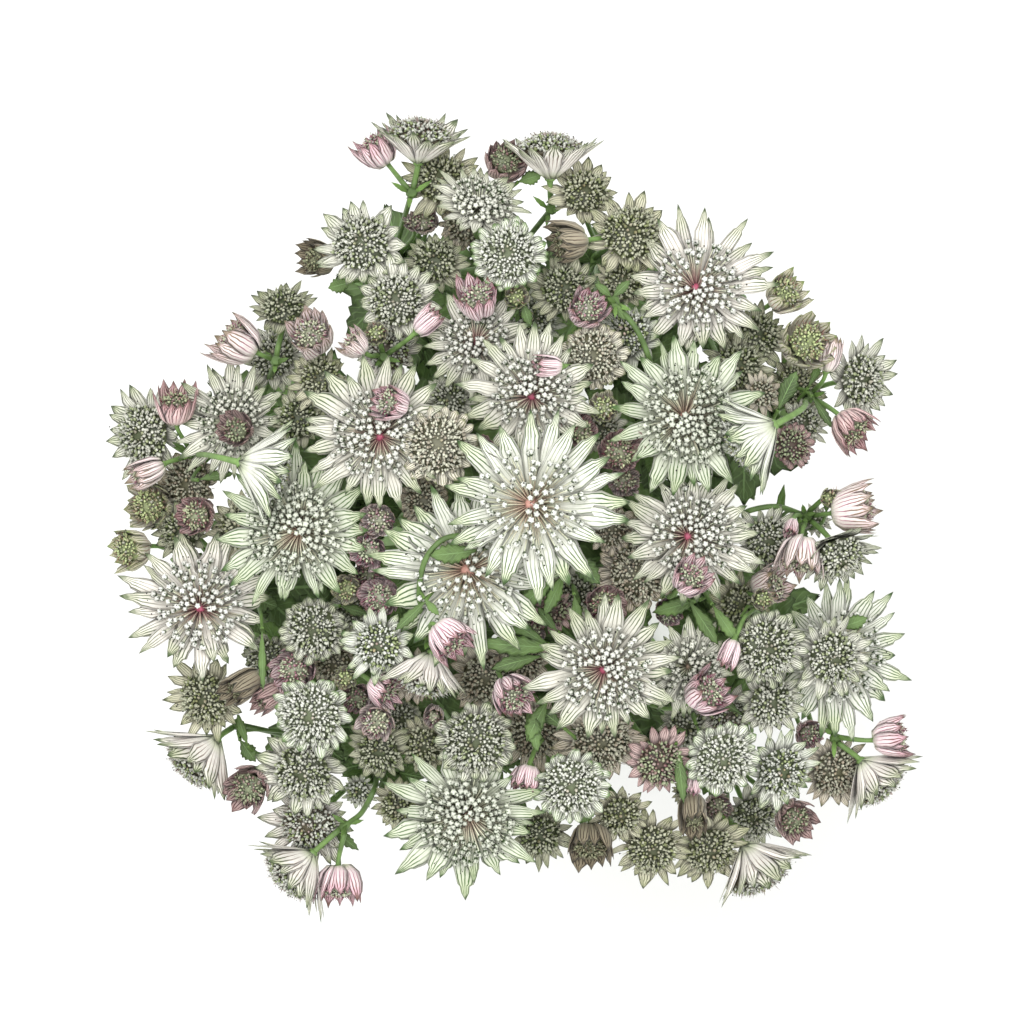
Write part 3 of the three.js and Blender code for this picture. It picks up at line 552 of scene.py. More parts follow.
def bezier(points, t):
    """The point of a cubic curve at t, or its points at each of several."""
    a, b, c, d = (np.asarray(point, float) for point in points)
    t = np.asarray(t, float)[..., None]
    return a * (1 - t) ** 3 + 3 * b * t * (1 - t) ** 2 + 3 * c * t * t * (1 - t) + d * t ** 3


def smooth_line(points, steps):
    """Points of a smooth curve through the given ones, with a number of steps between each two."""
    p = np.asarray(points, float)
    p = np.concatenate(([2 * p[0] - p[1]], p, [2 * p[-1] - p[-2]]))
    t = np.arange(steps)[:, None] / steps
    made = []
    for a, b, c, d in zip(p, p[1:], p[2:], p[3:]):
        made.append((2 * b + (c - a) * t + (2 * a - 5 * b + 4 * c - d) * t ** 2
                     + (3 * b - a - 3 * c + d) * t ** 3) / 2)
    return np.concatenate(made + [p[-2:-1]])


def stalk_curve(root, tip, axis):
    """The curve of a stalk that leaves its root upward and meets its tip along an axis."""
    span = np.linalg.norm(tip - root)
    start = unit(unit(tip - root) + UP * 0.5)
    return root, root + start * span * 0.35, tip - axis * span * 0.3, tip


def flower_axis(part):
    lean = REST_TILT * math.hypot(part.x, part.y) / DOME_RADIUS
    facing = heading(part.x, part.y) if part.facing is None else part.facing
    return direction(facing, lean if part.tilt is None else part.tilt)


def spread_roots(middle, parts, radius):
    """Roots round the middle of a fork, each towards its part, pushed apart where they crowd."""
    ways = []
    for part in parts:
        x, y, _ = place_of(part) - middle
        ways.append([math.hypot(x, y), heading(x, y), part])
    ways.sort(key=lambda way: way[0])
    inner = [ways.pop(0)] if len(ways) > MOST_ROUND_A_CIRCLE else []
    ways.sort(key=lambda way: way[1])
    apart = min(math.degrees(ROOT_SPACING / radius), 360 / len(ways))
    for _ in range(ROOT_PUSHES):
        for k, way in enumerate(ways):
            after = ways[(k + 1) % len(ways)]
            gap = after[1] - way[1] + (360 if k + 1 == len(ways) else 0)
            push = max(0, apart - gap) / 2
            way[1] -= push
            after[1] += push
    roots = [(part, middle) for _, _, part in inner]
    return roots + [(part, middle + direction(angle, 90) * radius) for _, angle, part in ways]


def stem_way(fork_point, waist, foot, waist_angle):
    """A stem's foot, the way it runs there and at its fork, and its curve from the tie to the fork."""
    slope = math.sqrt(foot * foot - waist * waist) / TIE_HEIGHT
    side, run = direction(waist_angle, 90), direction(waist_angle + 90, 90)
    foot_point = side * waist - run * slope * TIE_HEIGHT
    crossing = side * waist + UP * TIE_HEIGHT
    along = unit(crossing - foot_point)
    arrive = unit(np.array((fork_point[0], fork_point[1], 0)) * (STEM_FLARE / DOME_RADIUS) + UP)
    span = np.linalg.norm(fork_point - crossing)
    rise = (crossing, crossing + along * span * 0.4, fork_point - arrive * span * 0.3, fork_point)
    return foot_point, along, arrive, rise


def seen_circle(part):
    """The circle that a head covers as seen from above: x, y and radius."""
    if part.tilt is None or part.tilt < SIDEWAYS_TILT:
        return part.x, part.y, part.reach * (1.05 if part.kind == "star" else 1.0)
    shift, size = (0.55, 0.75) if part.kind == "fan" else (0.9, 1.0)
    x, y, _ = direction(part.facing, 90) * part.reach * shift
    return part.x + x, part.y + y, part.reach * size


def flowers_of(parts):
    for part in parts:
        if isinstance(part, Fork):
            yield from flowers_of(part.parts)
        else:
            yield part


def room_at(spots, circles):
    """How far each spot lies outside the nearest of some circles."""
    circles = np.array(circles)
    return (np.linalg.norm(spots[:, None] - circles[:, :2], axis=2) - circles[:, 2]).min(1)


def spots_inside(circles):
    """A grid of spots, without those that have no heads near them on some side."""
    side = np.arange(-LOWER_EXTENT, LOWER_EXTENT + 0.1, LOWER_STEP)
    spots = np.stack(np.meshgrid(side, side), -1).reshape(-1, 2)
    x, y = np.moveaxis(spots[:, None] - np.array(circles)[:, :2], -1, 0)
    near = np.hypot(x, y) < SURROUND
    inside = []
    for turns, kept in zip(np.arctan2(y, x), near):
        turns = np.sort(turns[kept])
        steps = np.diff(np.append(turns, turns[:1] + 2 * math.pi))
        inside.append(len(turns) > 2 and steps.max() < WIDEST_OPENING)
    return spots[inside]


def lower_heads(sprays):
    """Smaller heads in the depth between the others: each at the widest gap left inside the bunch."""
    rng = np.random.default_rng(LOWER_SEED)
    circles = [seen_circle(part) for spray in sprays for part in flowers_of(spray.parts)]
    circles += DARK_GAPS
    spots = spots_inside(circles)
    room = room_at(spots, OPEN_GAPS)
    spots, room = spots[room > LEAST_LOWER], room[room > LEAST_LOWER]
    made = []
    while True:
        clear = room_at(spots, circles)
        best = int(clear.argmax())
        if clear[best] < LOWER_CLEARANCE:
            return made
        x, y = spots[best]
        kind, look, spare = LOWER_SORTS[rng.choice(len(LOWER_SORTS))]
        reach = min(clear[best] * 0.9 + spare, LOWER_MOST, room[best])
        if kind == "cup":
            reach = min(reach * 0.6, LOWER_CUP_MOST)
        made.append(Head(kind, x, y, reach, rng.uniform(*LOWER_DROP), look))
        circles.append((x, y, max(reach * 0.85, clear[best] * 0.5)))


def by_nearest(sprays, things):
    """For each spray, the things that lie nearer to its fork than to any other."""
    shared = [[] for _ in sprays]
    for thing in things:
        away = [math.hypot(thing.x - spray.x, thing.y - spray.y) for spray in sprays]
        shared[away.index(min(away))].append(thing)
    return shared


def stem_routes():
    """The waist, foot and angle of the route of each stem, and its radius, the middle one first."""
    yield (0, 0, 0), MIDDLE_STEM_RADIUS
    for k in range(len(INNER_SPRAYS)):
        yield (INNER_WAIST, INNER_FOOT, INNER_TURN + 360 * k / len(INNER_SPRAYS)), STEM_RADIUS
    for k in range(len(OUTER_SPRAYS)):
        waist = OUTER_WAISTS[k % len(OUTER_WAISTS)]
        yield (waist, OUTER_FOOT, OUTER_TURN + 360 * k / len(OUTER_SPRAYS)), STEM_RADIUS


@functools.cache
def branches():
    """Each branch of the bunch, with its lower heads and its placed leaves."""
    sprays = [MIDDLE_SPRAY, *INNER_SPRAYS, *OUTER_SPRAYS]
    heads = by_nearest(sprays, lower_heads(sprays))
    leaves = by_nearest(sprays, [Leaf(*row) for row in PLACED_LEAVES])
    made = []
    for spray, more, placed, (route, radius) in zip(sprays, heads, leaves, stem_routes()):
        grown = spray._replace(parts=spray.parts + more)
        made.append(Branch(len(made) + 1, grown, placed, route, radius))
    return made


class Skin:
    """Points and faces gathered for one mesh, in mm, with what its finishes read at each point, and
    the random numbers and the chosen colours that shape it."""

    def __init__(self, seed=0):
        scene = bpy.context.scene
        self.rng = np.random.default_rng(seed)
        self.chosen = scene.masterwort
        self.colours = {name: np.array(getattr(self.chosen, name)) for name in SHARED_COLOURS}
        self.looks = {look.name: {part: np.array(getattr(look, part)) for part in LOOK_PARTS}
                      for look in scene.masterwort_looks}
        self.points = []
        self.layers = {name: [] for name in ("way", "ground", "vein", "tip", "flush")}
        self.faces = []
        self.finishes = []
        self.size = 0

    def add(self, points, faces, finish, ground, way=(0, 0, 0), **others):
        """Adds points (n, 3) and faces (m, 3 or 4). The way and the colours are one row, or one a
        point, and a colour that isn't given is the ground's."""
        given = {"way": way, **others}
        for name, rows in self.layers.items():
            rows.append(np.broadcast_to(given.get(name, ground), points.shape))
        self.points.append(points)
        self.faces.append(faces + self.size)
        self.finishes.append(finish)
        self.size += len(points)

    def mesh(self, name):
        """The gathered mesh, without unused points, and with a slot for each finish that it uses."""
        corners = np.concatenate([faces.ravel() for faces in self.faces])
        counts = np.concatenate([np.full(len(faces), faces.shape[1]) for faces in self.faces])
        used, corners = np.unique(corners, return_inverse=True)
        coats = sorted(set(self.finishes))
        slots = [coats.index(finish) for finish in self.finishes]
        slots = np.repeat(slots, [len(faces) for faces in self.faces])
        points = np.concatenate(self.points)[used] * METRES
        mesh = bpy.data.meshes.new(name)
        mesh.vertices.add(len(points))
        mesh.vertices.foreach_set("co", points.ravel().astype(np.float32))
        mesh.loops.add(len(corners))
        mesh.loops.foreach_set("vertex_index", corners.astype(np.int32))
        mesh.polygons.add(len(counts))
        mesh.polygons.foreach_set("loop_start", (np.cumsum(counts) - counts).astype(np.int32))
        mesh.polygons.foreach_set("material_index", slots.astype(np.int32))
        mesh.polygons.foreach_set("use_smooth", np.ones(len(counts), bool))
        for coat in coats:
            mesh.materials.append(bpy.data.materials[coat])
        for layer, rows in self.layers.items():
            sort, field, width = (("FLOAT_VECTOR", "vector", 3) if layer == "way"
                                  else ("FLOAT_COLOR", "color", 4))
            values = np.ones((len(points), width), np.float32)
            values[:, :3] = np.concatenate(rows)[used]
            mesh.attributes.new(layer, sort, "POINT").data.foreach_set(field, values.ravel())
        mesh.update(calc_edges=True)
        mesh.validate()
        return mesh


def quads_of(grid):
    """The quads between the neighbours in a grid of point numbers."""
    return np.stack((grid[:-1, :-1], grid[:-1, 1:], grid[1:, 1:], grid[1:, :-1]), -1).reshape(-1, 4)


def slab_faces(rows, columns):
    """Faces of a closed thin slab over a grid, and for its under side the grid points it needs."""
    upper = np.arange((rows + 1) * (columns + 1)).reshape(rows + 1, columns + 1)
    inner = upper[1:-1, 1:-1].ravel()
    lower = upper.copy()
    lower[1:-1, 1:-1] = (upper.size + np.arange(len(inner))).reshape(rows - 1, columns - 1)
    return np.concatenate((quads_of(upper), quads_of(lower)[:, ::-1])), inner


def ring_faces(rows, sides):
    """The quads between rings of points, and the triangles that close the first and the last of them
    round their middles, which are the two points after the rings."""
    grid = np.arange(rows * sides).reshape(rows, sides)
    grid = np.concatenate((grid, grid[:, :1]), 1)
    first, last = np.full((2, sides), [[rows * sides], [rows * sides + 1]])
    caps = ((first, grid[0, 1:], grid[0, :-1]), (last, grid[-1, :-1], grid[-1, 1:]))
    return quads_of(grid), np.concatenate([np.stack(cap, -1) for cap in caps])


def closed_faces(rows, sides):
    """The triangles of a closed skin of rings."""
    quads, caps = ring_faces(rows, sides)
    return np.concatenate((quads[:, :3], quads[:, [0, 2, 3]], caps))


def many(faces, copies, size):
    """The same faces for each of several copies of one set of points."""
    return (faces[None] + size * np.arange(copies)[:, None, None]).reshape(-1, faces.shape[1])


def lathe(profile, sides, ends=None):
    """Points and triangles of a closed skin turned from (radius, height) rows about z, closed at the
    heights of its first and last rows or at those given."""
    profile = np.array(profile, float)
    low, high = ends or (profile[0, 1], profile[-1, 1])
    rings = profile[:, :1, None] * circle(sides) + profile[:, 1:, None] * UP
    points = np.concatenate((rings.reshape(-1, 3), ((0, 0, low), (0, 0, high))))
    return points, closed_faces(len(profile), sides)


def rolling_frames(line, side=None):
    """A frame at each point of a line, its way last, that turns about the line as little as it can."""
    ways = unit(np.gradient(line, axis=0))
    across = level_side(ways[0]) if side is None else side
    frames = []
    for way in ways:
        across, along = square_to(way, across)
        frames.append((across, along, way))
    return np.array(frames)


def tube(line, radii, sides, side=None):
    """The rings of a round tube, with the middles of its ends, and how far along it each point is."""
    radii = np.broadcast_to(radii, len(line))[:, None, None]
    rings = line[:, None] + radii * (circle(sides) @ rolling_frames(line, side))
    share = np.append(np.repeat(np.linspace(0, 1, len(line)), sides), (0, 1))
    return np.concatenate((rings.reshape(-1, 3), line[[0, -1]])), share


def add_rings(skin, points, sides, finish, colour, end_colour):
    """The skin of a tube, and its caps with a sharp edge round them."""
    quads, caps = ring_faces(len(points) // sides, sides)
    skin.add(points, quads, finish, colour)
    skin.add(points, caps, finish, end_colour)


def add_tube(skin, line, radii, sides, ground, tip=None, finish="green stalk"):
    """A tube whose colour runs from one shared colour at its start to another at its end."""
    points, share = tube(np.array(line), radii, sides)
    start, end = skin.colours[ground], skin.colours[tip or ground]
    colour = start + (end - start) * share[:, None]
    add_rings(skin, points, sides, finish, colour, colour)


def seat_of(part):
    """Where a flower sits, and the three axes of its own frame as rows, its own axis last."""
    axis = flower_axis(part)
    level = unit(level_side(axis))
    turn = TURN_STEP * part.x
    turned = level * math.cos(turn) + np.cross(axis, level) * math.sin(turn)
    return place_of(part), np.stack((*square_to(axis, turned), axis))


def seated(seat, local):
    """Points given in the frame of a head, as rows in the bunch's own frame."""
    spot, frame_rows = seat
    return spot + local.reshape(-1, 3) @ frame_rows


def add_copies(skin, seat, local, faces, ground, finish="floret petal", **layers):
    """Copies of one form in the frame of a head; points and layers run over copies and points."""
    copies, size, _ = local.shape
    rows = {name: np.broadcast_to(value, local.shape).reshape(-1, 3)
            for name, value in {"ground": ground, **layers}.items()}
    skin.add(seated(seat, local), many(faces, copies, size), finish, **rows)


def add_lathe(skin, seat, profile, sides, colour, finish="floret petal"):
    local, faces = lathe(profile, sides)
    skin.add(seated(seat, local), faces, finish, colour)


def add_bracts(skin, part, seat, look):
    """The whorl of papery bracts, each a closed thin slab along its own curve. The arrays run over
    the bracts, over the rows from base to tip, and across."""
    kind, reach, rng = KINDS[part.kind], part.reach, skin.rng
    count, wrap = kind.bracts, kind.wrap
    each = (count, 1, 1)
    along, half = np.array(kind.outline).T[..., None]
    half = half * kind.half_width * reach
    way = bezier(kind.way, along[:, 0]) * reach
    steps = unit(np.gradient(way, axis=0))
    out, up = -steps[:, 1:], steps[:, :1]
    across = np.linspace(-1, 1, kind.columns + 1)
    order = np.arange(count)[:, None, None]
    lower = order % 2

    stray = BRACT_STRAY * (1 - 0.6 * wrap)
    turn = 2 * math.pi * (order + rng.uniform(-stray, stray, each)) / count
    length = 0.95 + 0.05 * lower + rng.uniform(-kind.spread, kind.spread, each)
    length = length * (1 + 0.45 * kind.spread * np.cos(turn - rng.uniform(0, 2 * math.pi)))
    narrow, wide = BRACT_WIDTHS
    width = rng.uniform(narrow + 0.12 * wrap, wide, each)
    droop = rng.normal(0, BRACT_DROOP, each) * reach * (1 - 0.6 * wrap)
    sway = rng.normal(0, BRACT_SWAY, each) * reach * (1 - 0.7 * wrap)
    fold = kind.fold * rng.uniform(*BRACT_FOLDS, each)
    tilt = rng.normal(0, BRACT_TILT, each) + BRACT_TILT * wrap
    ragged = 1 + rng.normal(0, BRACT_RAGGED, (2, count, len(along), 1)) * np.minimum(along * 2, 1)

    side = across * half * width * np.where(across > 0, *ragged) + sway * along ** 2
    lift = (fold * across ** 2 + tilt * across) * half
    lift = lift - lower * BRACT_UNDER * reach * np.minimum(along * 3, 1)
    radius = way[:, :1] * length
    angle = turn + wrap * side / np.maximum(radius, 0.6 * reach)
    height = way[:, 1:] * length + droop * along ** 2 + lift * up
    flat = (1 - wrap) * side[..., None] * polar(1.0, angle + math.pi / 2)
    upper = (polar(radius + lift * out, angle, height) + flat).reshape(count, -1, 3)
    down = polar(out, angle, up).reshape(count, -1, 3) * (skin.chosen.bract_thickness / METRES)
    faces, inner = slab_faces(len(along) - 1, kind.columns)
    local = np.concatenate((upper, (upper - down)[:, inner]), 1)
    shade = rng.uniform(0, 1, each)
    marks = np.stack(np.broadcast_arrays(across, along, shade), -1).reshape(count, -1, 3)
    marks = np.concatenate((marks, marks[:, inner]), 1)
    finish = "striped bract" if part.kind in STRIPED_KINDS else "bract paper"
    add_copies(skin, seat, local, faces, look["bract"] * (0.93 + 0.12 * shade), finish, way=marks,
               vein=look["vein"], tip=look["tip"], flush=look["flush"])


def floret_form(rings, foot, tip):
    """A floret about 1 across, of five lobes. A row is a ring's radius at the lobes and between them,
    its height there, and how white it is there, less than 0 for a deeper green; foot and tip are the
    height and white of the middle below and above."""
    lobe = np.arange(2 * FLORET_LOBES) % 2 == 0
    wide, narrow, high, low, white, grey = np.array(rings).T[..., None]
    radius, height = np.where(lobe, wide, narrow), np.where(lobe, high, low)
    points = radius[..., None] * circle(len(lobe)) + height[..., None] * UP
    ends = ((0, 0, foot[0]), (0, 0, tip[0]))
    return (np.concatenate((points.reshape(-1, 3), ends)), closed_faces(len(rings), len(lobe)),
            np.append(np.where(lobe, white, grey), (foot[1], tip[1])))


def with_sepals(form):
    """A floret with narrow pointed sepals that stand out from its green cup, between its lobes."""
    points, faces, weights = form
    out = circle(FLORET_LOBES, 0.5)
    side = np.cross(UP, out) * 0.17
    base = out * 0.62 - UP * 0.35
    sepals = np.stack((base - side, base + side, base - out * 0.2 + UP * 0.12, out * 0.95 + UP * 0.8), 1)
    return (np.concatenate((points, sepals.reshape(-1, 3))),
            np.concatenate((faces, many(SPIKE, *sepals.shape[:2]) + len(points))),
            np.append(weights, np.full(sepals[..., 0].size, SEPAL_WHITE)))


# A spike of three points and a tip, and the forms that heads are strewn with
SPIKE = np.array(((0, 2, 1), (0, 1, 3), (1, 2, 3), (2, 0, 3)))
FLORET_LOBES = 5
# The sepals are darker than the calyx: partly their own dark green, partly painted shade round each floret
SEPAL_WHITE = -0.6
PLUMP_FLORET = with_sepals(floret_form(
    ((0.56, 0.50, -0.5, -0.5, -0.3, -0.4), (0.95, 0.80, 0.10, 0.0, 0.9, 0.35),
     (0.62, 0.50, 0.72, 0.58, 1, 0.85)), (-1.1, -0.1), (0.66, 0.9)))
SHUT_FLORET = (*lathe([(0.68, 0.1)], 5, (-1.0, 1.15)), np.array([0.62] * 5 + [-0.2, 1.0]))
ANTHER = lathe([(1.0, 0.0)], 4, (-0.7, 0.7))
EYE_MOUND = np.array(((0.10, 0.02), (0.10, 0.06), (0.07, 0.11), (0.03, 0.13)))

# How florets stand on an open head, True, and on a crowded dome, False: their form, the share of the
# dome's radius that the first ones lie at and the power by which the others follow, how far they stray
# and lean, and their size: its base, the reach that adds 1 to it, its most, and its least share
Stand = namedtuple("Stand", "form start power stray lean base slope most least")
STANDS = {
    True: Stand(PLUMP_FLORET, 0.05, 0.60, 0.05, 0.14, 0.75, 60, 1.1, 0.82),
    False: Stand(SHUT_FLORET, 0.10, 0.5, 0.025, 0.22, 0.8, 50, 1.0, 0.62),
}


def frames_along(axes, rng):
    """A frame with its third axis along each given one, turned at random about it."""
    helper = np.where(np.abs(axes[:, 2:]) < 0.9, UP, (1.0, 0.0, 0.0))
    across = unit(np.cross(helper, axes))
    turn = rng.uniform(0, 2 * math.pi, (len(axes), 1))
    first = across * np.cos(turn) + np.cross(axes, across) * np.sin(turn)
    return np.stack((first, np.cross(axes, first), axes), 1)


def eye_turn(part, seat):
    """Where the bare side of an open head's middle lies, as an angle in the head's own frame."""
    across, along, _ = seat[1] @ direction(part.eye, 90)
    return math.atan2(along, across)


def petal_colours(look, outward, rng):
    """The petals of a crowded dome, some flushed or as pale as bract, and nearer the eye inside."""
    tint = rng.uniform(0, 1, (len(outward), 1))
    paper = np.where(tint < 0.42, look["bract"] * 0.8, look["floret"])
    petal = np.where(tint < 0.28, look["flush"] * 0.85, paper)
    return petal + (look["eye"] - petal) * np.clip(1.3 - 4.5 * outward, 0, 0.6)[:, None]


def add_florets(skin, part, seat, look):
    """The florets of a head, on pedicels or packed over a core, with dark anthers over them."""
    kind, reach, rng = KINDS[part.kind], part.reach, skin.rng
    dome, middle, rim = kind.dome * reach, kind.middle * reach, kind.rim * reach
    open_head = kind.florets > 0
    stand = STANDS[open_head]
    if open_head:
        count = int(kind.florets * CROWDING.get(part.look, 1.0) * min(1, reach / FULL_REACH))
    else:
        area = FLORET_AREA * (skin.chosen.floret_spacing / METRES) ** 2
        count = max(LEAST_FLORETS, int(math.pi * (dome ** 2 + (middle - rim) ** 2) / area))
    share = (np.arange(count) + 0.5) / count
    radius = dome * (stand.start + (1 - stand.start) * share ** stand.power)
    turn = np.arange(count) * GOLDEN_TURN + rng.uniform(-TURN_STRAY, TURN_STRAY, count)
    radius = radius * (1 + rng.normal(0, stand.stray, count))
    height = middle - (middle - rim) * (radius / dome) ** 2
    height = height + rng.normal(0, 0.03 * reach if open_head else 0.16, count)
    if open_head:
        bare = rng.uniform(0, 2 * math.pi) if part.eye is None else eye_turn(part, seat)
        off = np.abs((turn - bare + math.pi) % (2 * math.pi) - math.pi)
        kept = (radius <= BARE_FROM * reach) | (radius >= BARE_TO * reach) | (off >= BARE_TURN)
        turn, radius, height = turn[kept], radius[kept], height[kept]
    count = len(turn)
    spots = polar(radius, turn, height)
    pivot = UP * (0.04 * reach if open_head else middle - 0.75 * dome)
    axes = unit(unit(spots - pivot) + rng.normal(0, stand.lean, spots.shape))
    form, faces, weights = stand.form
    size = kind.knob * min(stand.most, stand.base + reach / stand.slope)
    size = size * rng.uniform(stand.least, FLORET_MOST, count)
    frames = frames_along(axes, rng)
    local = spots[:, None] + size[:, None, None] * (form @ frames)
    petal = look["floret"] if open_head else petal_colours(look, radius / dome, rng)[:, None]
    bright = rng.uniform(*FLORET_BRIGHT, (count, 1, 1))
    calyx, weights = skin.colours["calyx"], weights[:, None]
    colour = calyx * np.minimum(1 + weights, 1) + (petal - calyx) * np.maximum(weights, 0)
    add_copies(skin, seat, local, faces, colour * bright)
    if open_head:
        add_pedicels(skin, spots, size, axes, seat, reach, look)
    else:
        core = ((dome * 0.1, 0.06 * reach), (dome * 0.94, max(rim - 0.9, 0.1 * reach)),
                (dome * 0.96, rim - 0.45), (dome * 0.62, middle - (middle - rim) * 0.4 - 0.5),
                (dome * 0.25, middle - 0.55))
        # The core's dark green is painted shade between the packed florets, mixed with the head's own vein
        # or floret colour
        colour = skin.colours["shade"] * 0.6 + look["vein"] * 0.28
        if part.kind in SHUT_KINDS:
            colour = skin.colours["shade"] * 0.5 + look["floret"] * 0.42
        add_lathe(skin, seat, core, 12, colour)
        add_needles(skin, spots, axes, seat, look)
    add_anthers(skin, spots, count // ANTHER_STEPS[open_head], seat, look)


def add_needles(skin, spots, axes, seat, look):
    """Fine pointed sepals that stand out between the florets of a crowded dome."""
    rng, count = skin.rng, int(len(spots) * NEEDLE_SHARE)
    chosen = rng.choice(len(spots), count, replace=False)
    aim = unit(axes[chosen] + rng.normal(0, NEEDLE_LEAN, (count, 3)))
    base = spots[chosen] + rng.normal(0, NEEDLE_STRAY, (count, 3))
    tip = base + aim * rng.uniform(*NEEDLE_LENGTHS, (count, 1))
    ring = base[:, None] + NEEDLE_RADIUS * circle(3) @ frames_along(aim, rng)
    pale = rng.uniform(0, 1, (count, 1, 1)) < 0.5
    add_copies(skin, seat, np.concatenate((ring, tip[:, None]), 1), SPIKE,
               np.where(pale, look["floret"], look["vein"]))


def add_pedicels(skin, spots, size, axes, seat, reach, look):
    """A thin stalk under each floret of an open head, coloured as the eye where they meet."""
    rng, count, green = skin.rng, len(spots), skin.colours["pedicel"]
    foot = spots * (0.14, 0.14, 0) + UP * 0.05 * reach
    top = spots - axes * size[:, None] * 0.6
    line = np.stack((foot, (foot + top) / 2 + UP * 0.035 * reach, top), 1)
    around = circle(3) @ frames_along(axes, rng)
    local = (line[:, :, None] + PEDICEL_RADII * around[:, None]).reshape(count, -1, 3)
    eye = look["eye"] * 0.8 + green * 0.2
    colour = (eye + (green - eye) * PEDICEL_GREEN) * rng.uniform(0.9, 1.25, (count, 1, 1))
    add_copies(skin, seat, local, ring_faces(3, 3)[0], colour)
    add_lathe(skin, seat, EYE_MOUND * reach, 14, look["eye"])


def add_anthers(skin, spots, count, seat, look):
    """Dark anthers on fine white filaments, over a number of the florets."""
    rng = skin.rng
    spots = spots[rng.choice(len(spots), count, replace=False)]
    sideways = rng.normal(0, ANTHER_STRAY, (count, 3)) * (1, 1, 0.3)
    outward = rng.uniform(0, 0.3, (count, 1)) * spots * (1, 1, 0)
    ends = (spots + sideways + outward + UP * ANTHER_RISE)[:, None]
    form, faces = ANTHER
    add_copies(skin, seat, ends + form * rng.uniform(*ANTHER_SIZES, (count, 1, 1)), faces,
               skin.colours["anther"])
    lines = np.concatenate((spots[:, None] + UP * 0.2 + FILAMENT, ends + FILAMENT), 1)
    add_copies(skin, seat, lines, ring_faces(2, 3)[0], look["floret"])


def add_flower(skin, part, root):
    """One flower with its stalk, from its root at a fork."""
    kind, look, seat = KINDS[part.kind], skin.looks[part.look], seat_of(part)
    tip, (_, _, axis) = seat
    line = bezier(stalk_curve(root, tip, axis), np.linspace(0, 1, 8))
    line = np.concatenate(([root - UP * ROOT_DEPTH / 2], line))
    radii = np.interp(np.linspace(0, 1, len(line)), (0, 0.85, 1),
                      (STALK_ROOT_RADIUS, kind.stalk * 0.82, kind.stalk))
    add_tube(skin, line, radii, STALK_SIDES, "stalk", "stalk_top")
    wide = SHUT_COLLAR if part.kind in SHUT_KINDS else OPEN_COLLAR
    collar = ((kind.stalk * 0.8, -0.5), (kind.stalk * 1.5, 0),
              (max(kind.stalk * 1.4, wide * part.reach), 0.06 * part.reach + 0.3))
    add_lathe(skin, seat, collar, 10, skin.colours["stalk_top"], "green stalk")
    add_bracts(skin, part, seat, look)
    add_florets(skin, part, seat, look)


def add_blade(skin, root, azimuth, rise, length, width, green="leaf", teeth=0.22, arch=0.14, turn=0.0,
              rows=14):
    """A toothed blade as a closed thin slab that arches down to its tip, folded along its midrib."""
    rng = skin.rng
    out, level = direction(azimuth, 90 - rise), direction(azimuth + 90, 90)
    side = level * math.cos(turn) + np.cross(out, level) * math.sin(turn)
    face = np.cross(out, side)
    along = np.linspace(0, 1, rows + 1)
    even = np.arange(rows + 1) % 2 == 0
    half = np.interp(along, *BLADE_OUTLINE) * np.where(even | (along <= TEETH_FROM), 1, 1 - teeth)
    u, v = np.meshgrid(np.linspace(-1, 1, 5), along)
    spread = u * half[:, None] * width
    forward = np.where(np.abs(u) == 1, TOOTH_REACH * even[:, None], 0)
    bend = rng.normal(0, 0.05)
    lift = np.abs(spread) * LEAF_FOLD - arch * length * v ** 2
    lift = lift + 0.02 * length * np.sin(v * 9 + rng.uniform(0, 6)) * np.abs(u)
    upper = (root + (v + forward)[..., None] * length * out
             + (spread + bend * length * v ** 2)[..., None] * side + lift[..., None] * face)
    upper = upper.reshape(-1, 3)
    faces, inner = slab_faces(rows, 4)
    points = np.concatenate((upper, upper[inner] - face * LEAF_THICKNESS))
    marks = np.stack(np.broadcast_arrays(u, v, rng.uniform(0, 1)), -1).reshape(-1, 3)
    marks = np.concatenate((marks, marks[inner]))
    skin.add(points, faces, "toothed leaf", skin.colours[green] * rng.uniform(0.8, 1.6), marks,
             vein=skin.colours["leaf_vein"])


def add_leaf(skin, root, azimuth, rise, length, width, lobes):
    """A leaf of toothed lobes, at turns from the middle one, on one short stalk."""
    end = root + direction(azimuth, 90 - rise) * length * 0.12
    add_tube(skin, (root, (root + end) / 2, end), LEAF_STALK_RADIUS, STALK_SIDES, "stem")
    for turn in lobes:
        scale = 1 - 0.17 * abs(turn) / LOBE_TURN
        add_blade(skin, end, azimuth + turn, rise, length * 0.88 * scale, width * scale,
                  turn=math.radians(turn) * -0.25)


def add_bracteoles(skin, point, way, count, length):
    """Narrow leaf-like bracts round a fork."""
    rng = skin.rng
    for k in range(count):
        azimuth = 360 * k / count + rng.uniform(-35, 35)
        add_blade(skin, point - way * 0.6, azimuth, rng.uniform(35, 75), length * rng.uniform(0.6, 1.25),
                  length * 0.11, "bracteole", teeth=0.12, arch=0.15, rows=8)


def add_growth(skin, middle, parts, radius):
    """All that grows from one fork: flowers, and stalks with forks of their own."""
    for part, root in spread_roots(middle, parts, radius):
        if isinstance(part, Head):
            add_flower(skin, part, root)
            continue
        tip, points = place_of(part), [place(*point) for point in part.via]
        away = unit(tip - (points[-1] if points else root))
        neck = tip - away * SIDE_KNUCKLE_HEIGHT
        if points:
            line = smooth_line([root, *points, neck], 6)
        else:
            line = bezier(stalk_curve(root, neck, away), np.linspace(0, 1, 9))
        line = np.concatenate(([root - UP * ROOT_DEPTH / 2], line, [tip - away * 0.8, tip]))
        radii = [FORK_STALK_RADIUS] * (len(line) - 2) + [*SIDE_KNUCKLE_RADII]
        add_tube(skin, line, radii, FORK_STALK_SIDES, "stalk")
        add_bracteoles(skin, tip - away * 1.2, away, *SIDE_FORK_LEAVES)
        if part.parts:
            add_growth(skin, tip - away * ROOT_DEPTH / 2, part.parts, SIDE_ROOT_CIRCLE)


